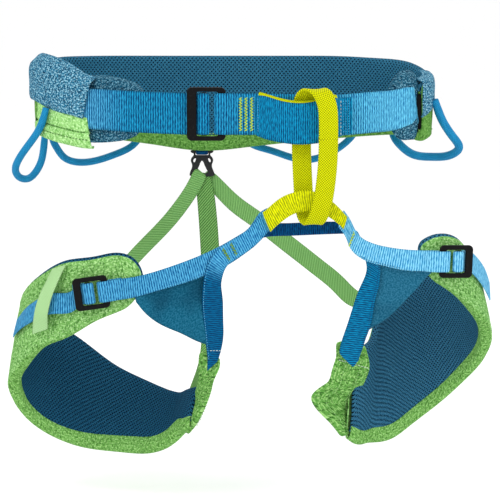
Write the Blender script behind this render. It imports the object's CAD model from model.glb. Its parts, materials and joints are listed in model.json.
import bpy
import json
import math
import numpy as np
from mathutils import Matrix, Vector, noise


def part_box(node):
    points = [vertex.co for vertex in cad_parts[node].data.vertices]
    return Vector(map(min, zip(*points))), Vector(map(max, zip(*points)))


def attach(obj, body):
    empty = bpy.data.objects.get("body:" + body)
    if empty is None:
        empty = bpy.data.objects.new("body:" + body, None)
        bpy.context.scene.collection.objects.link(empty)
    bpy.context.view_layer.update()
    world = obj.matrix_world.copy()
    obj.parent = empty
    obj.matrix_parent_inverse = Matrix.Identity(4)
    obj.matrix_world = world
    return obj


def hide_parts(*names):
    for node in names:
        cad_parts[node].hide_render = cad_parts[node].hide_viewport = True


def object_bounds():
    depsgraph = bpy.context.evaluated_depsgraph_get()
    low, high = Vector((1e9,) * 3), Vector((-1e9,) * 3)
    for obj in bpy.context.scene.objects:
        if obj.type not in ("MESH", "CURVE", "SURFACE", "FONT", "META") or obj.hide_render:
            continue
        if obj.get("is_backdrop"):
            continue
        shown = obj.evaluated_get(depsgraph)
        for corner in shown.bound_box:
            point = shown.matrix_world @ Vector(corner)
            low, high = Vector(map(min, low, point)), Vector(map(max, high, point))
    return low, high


MM = 0.001
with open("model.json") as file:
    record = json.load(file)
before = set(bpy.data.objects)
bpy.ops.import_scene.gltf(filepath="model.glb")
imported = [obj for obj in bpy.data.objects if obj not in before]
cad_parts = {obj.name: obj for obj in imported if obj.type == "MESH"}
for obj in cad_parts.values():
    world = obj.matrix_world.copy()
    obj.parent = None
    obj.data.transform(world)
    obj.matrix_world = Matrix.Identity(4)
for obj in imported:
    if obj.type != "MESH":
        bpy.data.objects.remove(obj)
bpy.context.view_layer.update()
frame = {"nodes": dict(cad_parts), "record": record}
nodes = frame["nodes"]
body_of_node = {n: b for b, ns in frame["record"]["behaviour"]["bodies"].items() for n in ns}

# Shapes in mm, the same numbers the CAD uses.
BELT = [
    ((-151.6, -62.2, 27.4), (-151.6, -62.2, -28.9)),
    ((-169.1, -52.0, 41.0), (-169.1, -52.0, -28.6)),
    ((-184.9, -39.3, 48.6), (-184.9, -39.3, -28.5)),
    ((-196.1, -25.6, 48.1), (-196.1, -25.6, -25.4)),
    ((-202.0, -12.9, 46.6), (-202.0, -12.9, -22.1)),
    ((-203.2, 8.1, 44.8), (-203.2, 8.1, -21.5)),
    ((-191.7, 31.8, 48.0), (-191.7, 31.8, -25.2)),
    ((-167.1, 53.3, 49.4), (-167.1, 53.3, -27.7)),
    ((-131.1, 71.2, 49.3), (-131.1, 71.2, -34.8)),
    ((-86.2, 84.3, 48.8), (-86.2, 84.3, -42.1)),
    ((-35.4, 91.6, 48.5), (-35.4, 91.6, -49.0)),
    ((17.8, 92.6, 48.5), (17.8, 92.6, -44.9)),
    ((69.8, 87.4, 48.7), (69.8, 87.4, -39.1)),
    ((117.0, 76.2, 48.6), (117.0, 76.2, -34.1)),
    ((156.3, 59.8, 47.0), (156.3, 59.8, -30.2)),
    ((184.9, 39.3, 44.1), (184.9, 39.3, -27.8)),
    ((200.9, 16.1, 36.2), (200.9, 16.1, -27.2)),
    ((203.2, -8.1, 30.0), (203.2, -8.1, -28.6)),
    ((191.7, -31.8, 28.0), (191.7, -31.8, -32.1)),
]
COVER_L = [
    ((-153.7, -66.3, 27.6), (-153.7, -66.3, -7.0)),
    ((-167.5, -58.6, 37.3), (-167.5, -58.6, -3.9)),
    ((-181.3, -48.6, 43.9), (-181.3, -48.6, 0.5)),
    ((-194.0, -36.3, 46.4), (-194.0, -36.3, 6.9)),
    ((-202.9, -23.0, 45.9), (-202.9, -23.0, 10.3)),
    ((-208.0, -7.2, 43.3), (-208.0, -7.2, 11.5)),
]
TAB_L = [
    ((-145.9, -69.3, -10.3), (-145.9, -69.3, -35.4)),
    ((-160.5, -61.9, -7.7), (-160.5, -61.9, -33.9)),
    ((-175.3, -52.4, -4.3), (-175.3, -52.4, -31.6)),
    ((-189.2, -40.6, 1.1), (-189.2, -40.6, -28.4)),
    ((-198.3, -29.4, 5.5), (-198.3, -29.4, -23.1)),
]
FLAP_L = [
    ((-143.5, -57.8, 31.2), (-143.5, -57.8, -30.2)),
    ((-131.1, -63.2, 34.5), (-131.1, -63.2, -30.3)),
    ((-117.6, -68.1, 34.2), (-117.6, -68.1, -28.9)),
    ((-103.1, -72.5, 30.9), (-103.1, -72.5, -25.1)),
    ((-90.9, -75.6, 23.1), (-90.9, -75.6, -18.9)),
]
FLAP_R = [
    ((185.4, -29.1, 34.5), (185.4, -29.1, -29.7)),
    ((178.1, -36.6, 35.3), (178.1, -36.6, -29.7)),
    ((169.1, -44.0, 31.1), (169.1, -44.0, -28.1)),
    ((160.5, -49.7, 20.8), (160.5, -49.7, -20.6)),
]
COVER_R = [
    ((195.8, -34.0, 25.1), (195.8, -34.0, 5.8)),
    ((202.0, -24.7, 26.7), (202.0, -24.7, 11.4)),
    ((206.4, -14.3, 28.2), (206.4, -14.3, 13.9)),
    ((208.5, -3.6, 29.8), (208.5, -3.6, 14.4)),
]
WAIST_ADJ = [
    (-184.6, -42.1, 3.1),
    (-174.1, -50.7, 3.2),
    (-161.7, -58.8, 3.1),
    (-147.5, -66.2, 2.9),
    (-129.0, -74.0, 2.2),
    (-105.5, -81.5, 1.1),
    (-76.7, -88.0, 0.0),
    (-60, -91.6, -0.3),
    (-46, -93.0, -0.8),
    (-38.5, -93.9, -0.8),
    (-34.6, -96.0, -0.7),
    (-33.4, -98.2, -0.6),
    (-32.0, -100.2, -0.4),
    (-28.5, -100.9, -0.4),
    (-25.0, -100.2, -0.5),
    (-23.6, -98.0, -0.6),
    (-25.0, -95.7, -0.8),
    (-28.5, -94.2, -0.8),
    (-33, -91.9, -1.0),
    (-38, -90.6, -1.0),
    (-50, -89.4, -0.8),
    (-75, -85.6, -0.2),
    (-103, -78.6, 0.8),
    (-130, -69.0, 1.9),
]
WAIST_ANC = [
    (22, -97.2, -0.8),
    (8, -98.4, -0.7),
    (0, -99.9, -0.5),
    (-6, -101.6, -0.5),
    (-12, -102.4, -0.3),
    (-16.2, -101.2, -0.4),
    (-17.9, -98, -0.6),
    (-16.2, -94.8, -0.8),
    (-12, -93.6, -0.9),
    (-4, -93.2, -0.9),
    (8, -93.2, -0.9),
    (22, -92.8, -1.1),
    (40, -91, -1.4),
    (60, -87.2, -2.0),
    (80, -85.6, -2.5),
    (100, -86.2, -2.7),
    (120, -83.4, -1.5),
    (140, -74.6, -0.2),
    (165.5, -50.9, 1.1),
    (176.6, -42.8, 3.1),
    (185.7, -34.4, 4.6),
    (192.7, -25.6, 5.6),
]
TIE = [
    ((22.9, -97.6, 17.7), (22.9, -97.6, -21.8)),
    ((28.8, -99.5, 17.8), (28.9, -99.5, -24.2)),
    ((41.6, -104.5, 14.6), (41.7, -104.5, -27.3)),
    ((56.3, -109.5, 11.5), (56.4, -109.5, -29.4)),
    ((68.1, -112.0, 11.1), (68.2, -112.0, -29.7)),
    ((81.8, -112.5, 13.1), (81.9, -112.5, -28.7)),
    ((93.7, -108.5, 15.8), (93.9, -108.5, -27.0)),
    ((101.8, -101.0, 15.9), (102.0, -101.0, -24.6)),
    ((109.1, -93.5, 15.5), (109.3, -93.5, -22.1)),
    ((118.1, -91.5, 15.9), (118.3, -91.5, -20.8)),
]
TIELIN = [
    ((25.9, -95.6, 20.6), (25.9, -95.6, -21.0)),
    ((30.8, -97.3, 19.7), (30.9, -97.3, -23.3)),
    ((41.7, -101.7, 17.0), (41.7, -101.7, -26.5)),
    ((56.4, -106.7, 13.8), (56.5, -106.7, -28.6)),
    ((68.1, -109.2, 13.4), (68.2, -109.2, -28.9)),
    ((81.9, -109.7, 16.9), (82.0, -109.7, -27.9)),
    ((91.8, -106.3, 19.2), (92.0, -106.3, -26.2)),
    ((98.9, -99.5, 18.3), (99.1, -99.5, -23.7)),
]
BELAY = [
    (93.8, -124.0, -24.4),
    (92.9, -125.0, -48.8),
    (91.0, -125.0, -68.5),
    (87.7, -124.0, -88.3),
    (83.9, -120.0, -100.6),
    (79.3, -112.5, -106.9),
    (74.0, -104.5, -102.8),
    (71.1, -100.0, -90.8),
    (69.6, -97.5, -71.1),
    (68.6, -96.5, -51.2),
    (68.0, -96.5, -31.3),
    (68.4, -97.5, -6.5),
    (69.3, -100.5, 10.5),
    (73.1, -106.0, 19.6),
    (79.8, -113.0, 22.9),
    (86.9, -119.5, 20.8),
    (91.7, -124.0, 11.8),
    (93.7, -125.0, -4.8),
]
SHEATH = [
    ((29.9, -107.5, -97.9), (37.3, -106.5, -116.0)),
    ((38.7, -109.5, -89.3), (48.7, -108.7, -106.3)),
    ((51.6, -111.0, -80.2), (60.5, -110.5, -98.6)),
    ((65.3, -112.3, -75.9), (69.4, -112.0, -96.3)),
    ((80.1, -112.5, -76.1), (80.2, -112.0, -96.0)),
    ((90.0, -112.0, -80.6), (86.2, -111.5, -97.5)),
    ((100.0, -110.5, -87.7), (94.1, -110.0, -101.2)),
    ((113.0, -108.0, -101.9), (109.7, -106.5, -113.5)),
]
BRIDGE = [
    ((39.0, -84.0, -111.5), (38.0, -84.0, -124.1)),
    ((57.1, -83.0, -111.1), (57.1, -83.0, -123.2)),
    ((77.1, -82.5, -110.7), (77.2, -82.5, -122.8)),
    ((99.1, -83.0, -110.1), (100.2, -83.0, -122.2)),
    ((108.1, -84.0, -110.0), (109.2, -84.0, -121.6)),
]
L_ANC = [
    ((26.4, -101.5, -98.6), (33.4, -103.0, -118.4)),
    ((16.5, -101.0, -112.6), (24.0, -101.0, -129.6)),
    ((6.1, -99.5, -120.8), (13.0, -99.5, -138.8)),
    ((-12.9, -97.8, -132.0), (-4.9, -97.8, -151.1)),
    ((-31.9, -96.6, -141.2), (-25.9, -96.6, -161.3)),
    ((-57.9, -96.0, -151.3), (-52.9, -96.0, -171.0)),
    ((-82.9, -96.0, -159.4), (-79.0, -96.0, -178.6)),
    ((-102.8, -96.4, -163.9), (-101.0, -96.4, -184.6)),
    ((-117.1, -102.0, -165.1), (-114.1, -102.0, -185.9)),
    ((-123.0, -103.8, -165.9), (-120.0, -103.8, -186.7)),
    ((-128.6, -104.4, -166.7), (-125.6, -104.4, -187.5)),
    ((-134.0, -103.7, -167.5), (-131.0, -103.7, -188.3)),
    ((-135.7, -100.5, -167.7), (-132.7, -100.5, -188.5)),
    ((-134.0, -97.3, -167.5), (-131.0, -97.3, -188.3)),
    ((-128.6, -96.6, -166.7), (-125.6, -96.6, -187.5)),
    ((-122.5, -95.3, -165.8), (-119.5, -95.3, -186.6)),
    ((-111.6, -94.1, -164.3), (-108.6, -94.1, -185.1)),
]
L_ADJ = [
    ((-221.0, -42.0, -213.2), (-226.8, -38.0, -234.6)),
    ((-209.5, -63.0, -198.6), (-215.1, -60.0, -220.7)),
    ((-194.6, -79.5, -187.0), (-197.0, -78.0, -208.6)),
    ((-179.5, -89.5, -180.5), (-180.8, -89.5, -201.8)),
    ((-160.0, -94.5, -176.2), (-158.2, -94.5, -197.0)),
    ((-155.2, -96.2, -170.4), (-152.2, -96.2, -191.2)),
    ((-151.3, -98.5, -169.9), (-148.3, -98.5, -190.7)),
    ((-150.1, -100.7, -169.7), (-147.1, -100.7, -190.5)),
    ((-148.7, -102.7, -169.5), (-145.7, -102.7, -190.3)),
    ((-145.3, -103.4, -169.0), (-142.3, -103.4, -189.8)),
    ((-141.8, -102.7, -168.6), (-138.8, -102.7, -189.4)),
    ((-140.4, -100.5, -168.4), (-137.4, -100.5, -189.2)),
    ((-141.8, -98.2, -168.6), (-138.8, -98.2, -189.4)),
    ((-145.3, -96.7, -169.0), (-142.3, -96.7, -189.8)),
    ((-149.7, -94.5, -169.7), (-146.7, -94.5, -190.5)),
    ((-154.7, -93.5, -170.4), (-151.7, -93.5, -191.2)),
    ((-161.1, -93.4, -171.3), (-158.1, -93.4, -192.1)),
]
L_INN = [
    ((-10.8, -101.4, -132.1), (-2.9, -101.4, -148.1)),
    ((-18.8, -100.8, -140.2), (-3.9, -100.8, -151.2)),
    ((-24.8, -100.0, -149.8), (-6.9, -99.8, -156.4)),
    ((-28.6, -98.6, -162.1), (-11.1, -98.2, -167.2)),
    ((-30.5, -94.0, -176.8), (-12.0, -94.0, -177.8)),
    ((-31.2, -86.0, -196.2), (-10.1, -86.0, -195.2)),
    ((-29.4, -79.5, -216.6), (-9.2, -79.5, -218.6)),
    ((-27.6, -73.0, -237.1), (-9.3, -73.0, -239.1)),
    ((-25.7, -68.0, -253.4), (-13.5, -68.0, -251.3)),
]
L_TRI = [
    ((-91.3, -89.5, -183.5), (-89.5, -87.0, -201.2)),
    ((-81.2, -89.7, -178.4), (-74.1, -85.0, -212.7)),
    ((-65.2, -90.0, -172.3), (-53.6, -82.5, -222.2)),
    ((-48.1, -90.0, -166.3), (-40.5, -81.0, -229.6)),
    ((-33.6, -89.0, -162.4), (-32.5, -79.0, -233.0)),
]
L_PAD = [
    ((-87.0, -92.0, -155.9), (-95.7, -92.0, -189.2)),
    ((-110.9, -92.0, -142.8), (-116.3, -92.0, -198.4)),
    ((-138.0, -91.0, -145.9), (-138.5, -91.0, -207.6)),
    ((-169.0, -85.5, -150.7), (-168.3, -85.0, -224.9)),
    ((-192.9, -73.0, -163.5), (-196.0, -71.0, -237.4)),
    ((-209.2, -53.0, -178.5), (-218.9, -48.0, -260.0)),
    ((-218.1, -28.0, -194.5), (-233.3, -22.0, -282.4)),
    ((-218.1, 0.0, -211.2), (-230.8, 0.0, -308.9)),
    ((-203.1, 28.0, -228.3), (-211.4, 13.0, -335.0)),
    ((-175.0, 44.0, -244.8), (-180.1, 16.0, -352.9)),
    ((-133.1, 52.0, -278.6), (-143.9, 12.0, -361.7)),
    ((-97.1, 48.0, -297.5), (-109.6, 4.0, -363.8)),
    ((-68.2, 34.0, -306.8), (-81.7, -6.0, -361.1)),
    ((-50.7, 18.0, -307.0), (-61.4, -16.0, -349.3)),
    ((-40.8, 1.0, -299.5), (-48.5, -28.0, -335.1)),
]
L_SLV = [
    ((-33.2, -50.0, -266.9), (-16.6, -66.0, -263.0)),
    ((-33.5, -42.0, -274.6), (-19.7, -66.0, -275.4)),
    ((-34.1, -33.0, -282.5), (-22.8, -63.0, -287.3)),
    ((-34.7, -24.0, -289.5), (-27.0, -58.0, -300.8)),
    ((-35.6, -15.0, -296.4), (-32.3, -50.0, -314.9)),
    ((-36.9, -7.0, -303.3), (-40.9, -40.0, -328.4)),
]
L_KEEP = [
    ((-181.7, -84.5, -156.9), (-167.1, -90.5, -152.1)),
    ((-187.7, -86.5, -168.8), (-171.9, -94.0, -161.7)),
    ((-193.1, -87.0, -179.8), (-178.9, -96.0, -177.6)),
    ((-198.1, -86.0, -193.2), (-182.5, -96.5, -188.6)),
    ((-200.7, -83.5, -204.7), (-185.2, -95.0, -199.9)),
    ((-202.7, -77.0, -217.0), (-186.2, -89.5, -209.9)),
    ((-203.3, -74.0, -224.6), (-186.7, -85.0, -217.7)),
]
R_ANC = [
    ((117.3, -102.0, -106.5), (112.4, -102.0, -123.5)),
    ((122.9, -101.0, -117.6), (116.5, -101.0, -133.6)),
    ((136.0, -98.5, -127.9), (130.6, -98.5, -146.0)),
    ((154.6, -95.6, -133.3), (150.8, -95.6, -152.4)),
    ((179.7, -94.5, -136.4), (176.9, -94.5, -157.6)),
    ((191.6, -95.0, -136.9), (189.8, -95.0, -158.0)),
    ((198.9, -98.5, -137.2), (198.1, -98.7, -158.2)),
    ((205.2, -98.6, -137.4), (204.4, -98.8, -158.4)),
    ((210.8, -97.6, -137.6), (210.0, -97.8, -158.6)),
    ((215.8, -95.4, -137.8), (215.0, -95.6, -158.8)),
    ((216.6, -91.9, -137.8), (215.8, -92.1, -158.8)),
    ((214.1, -89.3, -137.8), (213.3, -89.5, -158.8)),
    ((208.7, -90.1, -137.6), (207.9, -90.3, -158.6)),
    ((202.4, -90.5, -137.4), (201.6, -90.7, -158.4)),
    ((191.5, -92.4, -137.0), (190.7, -92.6, -158.0)),
]
R_ADJ = [
    ((262.4, -35.0, -175.8), (264.1, -32.0, -197.0)),
    ((255.1, -54.0, -158.8), (255.1, -52.0, -180.7)),
    ((245.1, -70.0, -145.6), (243.9, -70.0, -165.9)),
    ((234.3, -82.3, -138.5), (233.5, -82.5, -159.5)),
    ((231.2, -85.6, -138.4), (230.4, -85.8, -159.4)),
    ((230.7, -88.1, -138.4), (229.9, -88.3, -159.4)),
    ((229.9, -90.4, -138.3), (229.1, -90.6, -159.3)),
    ((226.7, -92.0, -138.2), (225.9, -92.2, -159.2)),
    ((223.1, -92.3, -138.1), (222.3, -92.5, -159.1)),
    ((221.2, -90.6, -138.0), (220.4, -90.8, -159.0)),
    ((221.9, -88.0, -138.1), (221.1, -88.2, -159.1)),
    ((224.9, -85.6, -138.2), (224.1, -85.8, -159.2)),
    ((228.6, -82.2, -138.3), (227.8, -82.4, -159.3)),
    ((233.1, -79.9, -138.5), (232.3, -80.1, -159.5)),
    ((239.3, -78.0, -138.7), (238.5, -78.2, -159.7)),
]
R_INN = [
    ((126.7, -94.8, -134.4), (140.9, -93.2, -148.7)),
    ((131.1, -90.0, -145.1), (146.9, -93.2, -154.7)),
    ((133.4, -84.0, -155.9), (147.9, -94.5, -162.6)),
    ((128.7, -81.5, -173.5), (146.3, -90.0, -174.4)),
    ((122.8, -80.5, -188.9), (142.1, -85.0, -190.3)),
    ((114.0, -76.5, -218.1), (137.3, -76.5, -220.1)),
    ((109.2, -72.0, -234.2), (132.6, -72.0, -236.2)),
    ((109.4, -69.0, -245.0), (129.7, -69.0, -246.0)),
]
R_TRI = [
    ((151.6, -90.0, -155.2), (142.2, -77.5, -216.9)),
    ((163.3, -88.6, -157.4), (156.2, -79.0, -207.5)),
    ((175.4, -86.6, -159.6), (176.1, -81.0, -186.8)),
    ((184.6, -85.0, -161.9), (186.9, -82.5, -174.4)),
]
R_PAD = [
    ((184.2, -86.5, -135.4), (196.7, -84.5, -165.0)),
    ((201.4, -84.0, -125.6), (214.3, -80.0, -175.8)),
    ((223.0, -78.0, -126.3), (231.2, -73.0, -188.0)),
    ((236.5, -65.0, -140.1), (251.3, -57.0, -204.7)),
    ((247.5, -38.0, -155.8), (266.0, -28.0, -227.9)),
    ((251.5, -10.0, -167.7), (267.8, -4.0, -249.7)),
    ((244.0, 18.0, -176.7), (259.3, 12.0, -270.5)),
    ((226.2, 42.0, -181.0), (242.8, 24.0, -290.9)),
    ((202.7, 54.0, -180.5), (221.1, 28.0, -311.0)),
    ((179.4, 55.0, -193.6), (196.3, 22.0, -328.2)),
    ((160.8, 46.0, -210.6), (173.2, 8.0, -341.5)),
    ((148.2, 28.0, -226.1), (152.4, -6.0, -348.2)),
    ((141.0, 9.0, -244.4), (132.9, -18.0, -346.8)),
]
R_SLV = [
    ((106.5, -66.0, -249.6), (129.9, -66.0, -249.6)),
    ((103.5, -66.0, -258.9), (133.6, -54.0, -258.9)),
    ((99.5, -64.0, -269.6), (133.4, -40.0, -270.8)),
    ((92.6, -60.0, -282.7), (131.0, -27.0, -285.7)),
    ((82.6, -54.0, -295.3), (128.4, -19.0, -301.0)),
    ((96.2, -48.0, -313.2), (125.5, -17.0, -317.2)),
    ((113.2, -38.0, -334.1), (123.7, -24.0, -333.8)),
]
RIS_L = [
    ((-42.9, 92.5, -84.2), (-34.3, 92.5, -91.0)),
    ((-60.0, 87.5, -103.0), (-48.4, 87.5, -112.4)),
    ((-74.7, 83.5, -120.6), (-63.7, 83.5, -130.8)),
    ((-107.0, 76.0, -153.5), (-95.8, 76.0, -163.5)),
    ((-144.2, 63.0, -197.4), (-132.8, 63.0, -207.2)),
    ((-164.1, 54.5, -219.8), (-152.9, 54.5, -229.8)),
    ((-188.5, 41.5, -239.0), (-178.8, 43.6, -249.5)),
    ((-198.8, 33.2, -250.1), (-189.1, 35.3, -260.7)),
]
RIS_M = [
    ((-39.2, 96.0, -88.8), (-28.4, 96.0, -87.0)),
    ((-40.0, 92.5, -109.2), (-21.2, 92.5, -107.2)),
    ((-36.1, 78.0, -158.3), (-16.1, 78.0, -156.9)),
    ((-33.8, 62.0, -209.9), (-13.8, 62.0, -209.5)),
    ((-34.6, 44.0, -244.6), (-14.6, 44.0, -245.0)),
    ((-37.6, 33.9, -272.0), (-19.4, 28.1, -268.0)),
    ((-51.8, 21.2, -314.6), (-41.7, 8.3, -305.0)),
    ((-54.9, 11.3, -326.9), (-44.8, -1.6, -317.2)),
]
RIS_R = [
    ((-32.7, 99.5, -93.3), (-26.5, 99.5, -84.3)),
    ((-11.5, 96.5, -111.4), (-2.1, 96.5, -97.2)),
    ((13.8, 91.0, -128.6), (24.6, 91.0, -113.6)),
    ((46.9, 84.0, -154.8), (58.3, 84.0, -140.2)),
    ((86.6, 74.0, -185.0), (98.0, 74.0, -170.4)),
    ((118.4, 62.0, -210.4), (130.0, 62.0, -196.0)),
    ((155.4, 44.9, -220.5), (166.7, 52.3, -208.7)),
    ((166.8, 44.4, -231.2), (178.2, 51.8, -219.4)),
]
GL_LF = [
    (-189.4, -47.0, 2.5),
    (-194.8, -45.0, -14.9),
    (-207.0, -37.0, -33.7),
    (-219.7, -25.0, -51.0),
    (-224.6, -14.0, -63.3),
    (-221.2, -3.0, -72.0),
    (-213.8, 6.0, -73.9),
    (-207.3, 14.0, -68.8),
    (-201.5, 20.0, -57.8),
    (-199.2, 25.0, -45.7),
    (-198.3, 28.0, -35.4),
    (-197.7, 29.0, -26.0),
]
GL_LR = [
    (-191.6, 42.0, -26.9),
    (-190.9, 45.0, -36.6),
    (-186.6, 49.0, -46.4),
    (-179.4, 56.0, -56.5),
    (-167.3, 64.0, -61.5),
    (-147.8, 75.0, -60.8),
    (-126.9, 84.0, -54.5),
    (-108.9, 90.0, -45.3),
    (-100.3, 92.0, -35.7),
]
GL_RR = [
    (9.4, 99.0, -37.3),
    (17.0, 101.0, -43.9),
    (39.7, 104.0, -52.3),
    (62.5, 104.0, -59.9),
    (85.2, 101.0, -61.3),
    (99.1, 97.0, -56.6),
    (113.9, 91.0, -47.5),
    (126.5, 85.0, -35.2),
    (131.7, 82.0, -27.5),
]
GL_RF = [
    (206.5, -16.5, 8.9),
    (213.2, -11.2, -8.9),
    (227.4, -2.0, -30.6),
    (233.9, 6.0, -41.1),
    (227.2, 18.5, -49.9),
    (207.8, 36.8, -53.7),
    (188.8, 50.0, -51.8),
    (176.7, 58.0, -42.9),
    (169.5, 63.2, -32.6),
    (167.4, 64.4, -25.2),
]
WAIST_BUCKLE = (-26.35, -98.0, -0.5)
WAIST_SLOT = 1.1
WAIST_BAR = (-28.5, -98.0, -0.5)
LEFT_BUCKLE = (-141.3, -100.5, -179.1)
RIGHT_BUCKLE = (223.1, -90.0, -148.6)
CLIP = (-34.8, 96.0, -65.2)
COVER_LV = [
    ((-142.4, -72.0, 28.9), (-142.4, -72.0, -7.1)),
    ((-153.8, -66.6, 30.6), (-153.8, -66.6, -5.9)),
    ((-167.6, -58.8, 35.8), (-167.6, -58.8, -3.4)),
    ((-181.5, -48.9, 41.4), (-181.5, -48.9, 1.0)),
    ((-194.2, -36.5, 44.9), (-194.2, -36.5, 6.4)),
    ((-203.1, -23.1, 46.4), (-203.1, -23.1, 9.8)),
    ((-208.3, -7.2, 46.4), (-208.3, -7.2, 10.4)),
    ((-208.8, 3.6, 45.4), (-208.8, 3.6, 10.9)),
]
L_PAD_V = [
    ((-87.0, -92.0, -155.9), (-95.7, -92.0, -189.2)),
    ((-110.9, -92.0, -142.8), (-116.3, -92.0, -198.4)),
    ((-138.0, -91.0, -145.9), (-138.5, -91.0, -207.6)),
    ((-169.0, -85.5, -150.7), (-168.3, -85.0, -224.9)),
    ((-192.9, -73.0, -163.5), (-196.0, -71.0, -237.4)),
    ((-209.2, -53.0, -178.5), (-218.9, -48.0, -260.0)),
    ((-218.1, -28.0, -194.5), (-233.3, -22.0, -282.4)),
    ((-218.1, 0.0, -211.2), (-230.8, 0.0, -308.9)),
    ((-203.1, 28.0, -228.3), (-211.4, 13.0, -335.0)),
    ((-175.0, 44.0, -244.8), (-180.1, 16.0, -352.9)),
    ((-133.1, 52.0, -278.6), (-143.9, 12.0, -361.7)),
    ((-97.1, 48.0, -297.5), (-109.6, 4.0, -363.8)),
    ((-68.2, 34.0, -306.8), (-81.7, -6.0, -361.1)),
    ((-50.7, 18.0, -307.0), (-61.4, -16.0, -349.3)),
    ((-40.8, 1.0, -299.5), (-48.5, -28.0, -335.1)),
    ((-35.7, -14.0, -294.5), (-45.1, -36.0, -332.4)),
    ((-32.8, -26.0, -290.1), (-41.8, -42.0, -327.0)),
]
R_PAD_V = [
    ((184.2, -86.5, -135.4), (196.7, -84.5, -165.0)),
    ((201.4, -84.0, -125.6), (214.3, -80.0, -175.8)),
    ((223.0, -78.0, -126.3), (231.2, -73.0, -188.0)),
    ((236.5, -65.0, -140.1), (251.3, -57.0, -204.7)),
    ((247.5, -38.0, -155.8), (266.0, -28.0, -227.9)),
    ((251.5, -10.0, -167.7), (267.8, -4.0, -249.7)),
    ((244.0, 18.0, -176.7), (259.3, 12.0, -270.5)),
    ((226.2, 42.0, -181.0), (242.8, 24.0, -290.9)),
    ((202.7, 54.0, -180.5), (221.1, 28.0, -311.0)),
    ((179.4, 55.0, -193.6), (196.3, 22.0, -328.2)),
    ((160.8, 46.0, -210.6), (173.2, 8.0, -341.5)),
    ((148.2, 28.0, -226.1), (152.4, -6.0, -348.2)),
    ((141.0, 9.0, -244.4), (132.9, -18.0, -346.8)),
    ((132.6, -12.0, -248.3), (124.2, -25.0, -346.3)),
    ((123.3, -34.0, -254.1), (116.5, -34.0, -339.2)),
]
FLAP_LV = [
    ((-151.4, -56.1, 29.1), (-151.4, -56.1, -30.3)),
    ((-142.0, -60.8, 29.8), (-142.0, -60.8, -30.5)),
    ((-131.8, -65.1, 30.5), (-131.8, -65.1, -30.2)),
    ((-118.2, -70.0, 29.8), (-118.2, -70.0, -28.8)),
    ((-103.6, -74.4, 27.0), (-103.6, -74.4, -25.5)),
    ((-89.8, -77.9, 22.2), (-89.8, -77.9, -18.7)),
]
TAB_LV = [
    ((-140.7, -71.7, -9.1), (-140.7, -71.7, -36.2)),
    ((-148.5, -68.2, -7.3), (-148.5, -68.2, -36.0)),
    ((-160.5, -62.0, -5.7), (-160.5, -62.0, -34.4)),
    ((-175.4, -52.5, -1.3), (-175.4, -52.5, -31.6)),
    ((-189.2, -40.6, 4.1), (-189.2, -40.6, -28.4)),
    ((-199.5, -27.8, 9.5), (-199.5, -27.8, -25.2)),
]
COVER_RV = [
    ((192.7, -34.1, 28.6), (192.7, -34.1, -7.4)),
    ((198.0, -26.8, 29.2), (198.0, -26.8, -4.8)),
    ((203.0, -16.9, 29.8), (203.0, -16.9, -1.3)),
    ((205.7, -6.8, 31.0), (205.7, -6.8, 2.2)),
    ((206.1, 3.4, 33.4), (206.1, 3.4, 5.2)),
    ((204.1, 13.6, 35.9), (204.1, 13.6, 7.3)),
]
L_TRI_V = [
    ((-99.1, -93.6, -178.9), (-97.2, -93.0, -189.1)),
    ((-91.0, -93.9, -174.8), (-89.3, -91.5, -199.5)),
    ((-81.0, -94.0, -171.8), (-74.0, -88.0, -212.2)),
    ((-65.0, -94.2, -166.7), (-53.5, -84.0, -222.0)),
    ((-48.0, -94.2, -158.6), (-40.6, -78.0, -229.6)),
    ((-33.5, -93.6, -152.7), (-30.6, -75.0, -234.2)),
    ((-24.0, -93.0, -148.7), (-21.5, -73.0, -237.1)),
]
R_TRI_V = [
    ((139.0, -91.0, -149.0), (130.5, -72.0, -224.9)),
    ((151.5, -91.5, -148.9), (142.3, -76.0, -217.1)),
    ((163.0, -91.0, -149.0), (156.3, -78.0, -207.6)),
    ((175.1, -90.5, -151.1), (176.1, -81.0, -186.8)),
    ((184.1, -90.0, -153.1), (186.8, -84.0, -174.2)),
    ((191.2, -89.5, -155.2), (193.5, -87.0, -165.2)),
    ((198.3, -89.0, -157.3), (198.4, -88.6, -160.9)),
]
L_INN_V = [
    ((28.9, -103.4, -99.9), (34.9, -104.6, -117.2)),
    ((16.5, -103.0, -112.9), (24.0, -103.0, -129.4)),
    ((5.1, -102.0, -122.0), (13.0, -102.0, -138.0)),
    ((-7.9, -101.6, -129.6), (1.1, -101.6, -146.1)),
    ((-18.8, -100.6, -140.2), (-6.4, -100.6, -152.8)),
    ((-25.3, -99.6, -150.9), (-9.9, -99.6, -159.9)),
    ((-28.6, -98.4, -162.1), (-11.4, -98.2, -168.2)),
    ((-30.5, -94.0, -176.8), (-12.0, -94.0, -177.8)),
    ((-31.2, -86.0, -196.2), (-10.1, -86.0, -195.2)),
    ((-29.4, -79.5, -216.6), (-9.2, -79.5, -218.6)),
    ((-27.6, -73.5, -237.0), (-9.3, -73.5, -239.1)),
    ((-26.2, -69.5, -253.1), (-11.9, -70.5, -252.9)),
    ((-26.7, -67.5, -263.8), (-16.5, -69.0, -263.5)),
]
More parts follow.
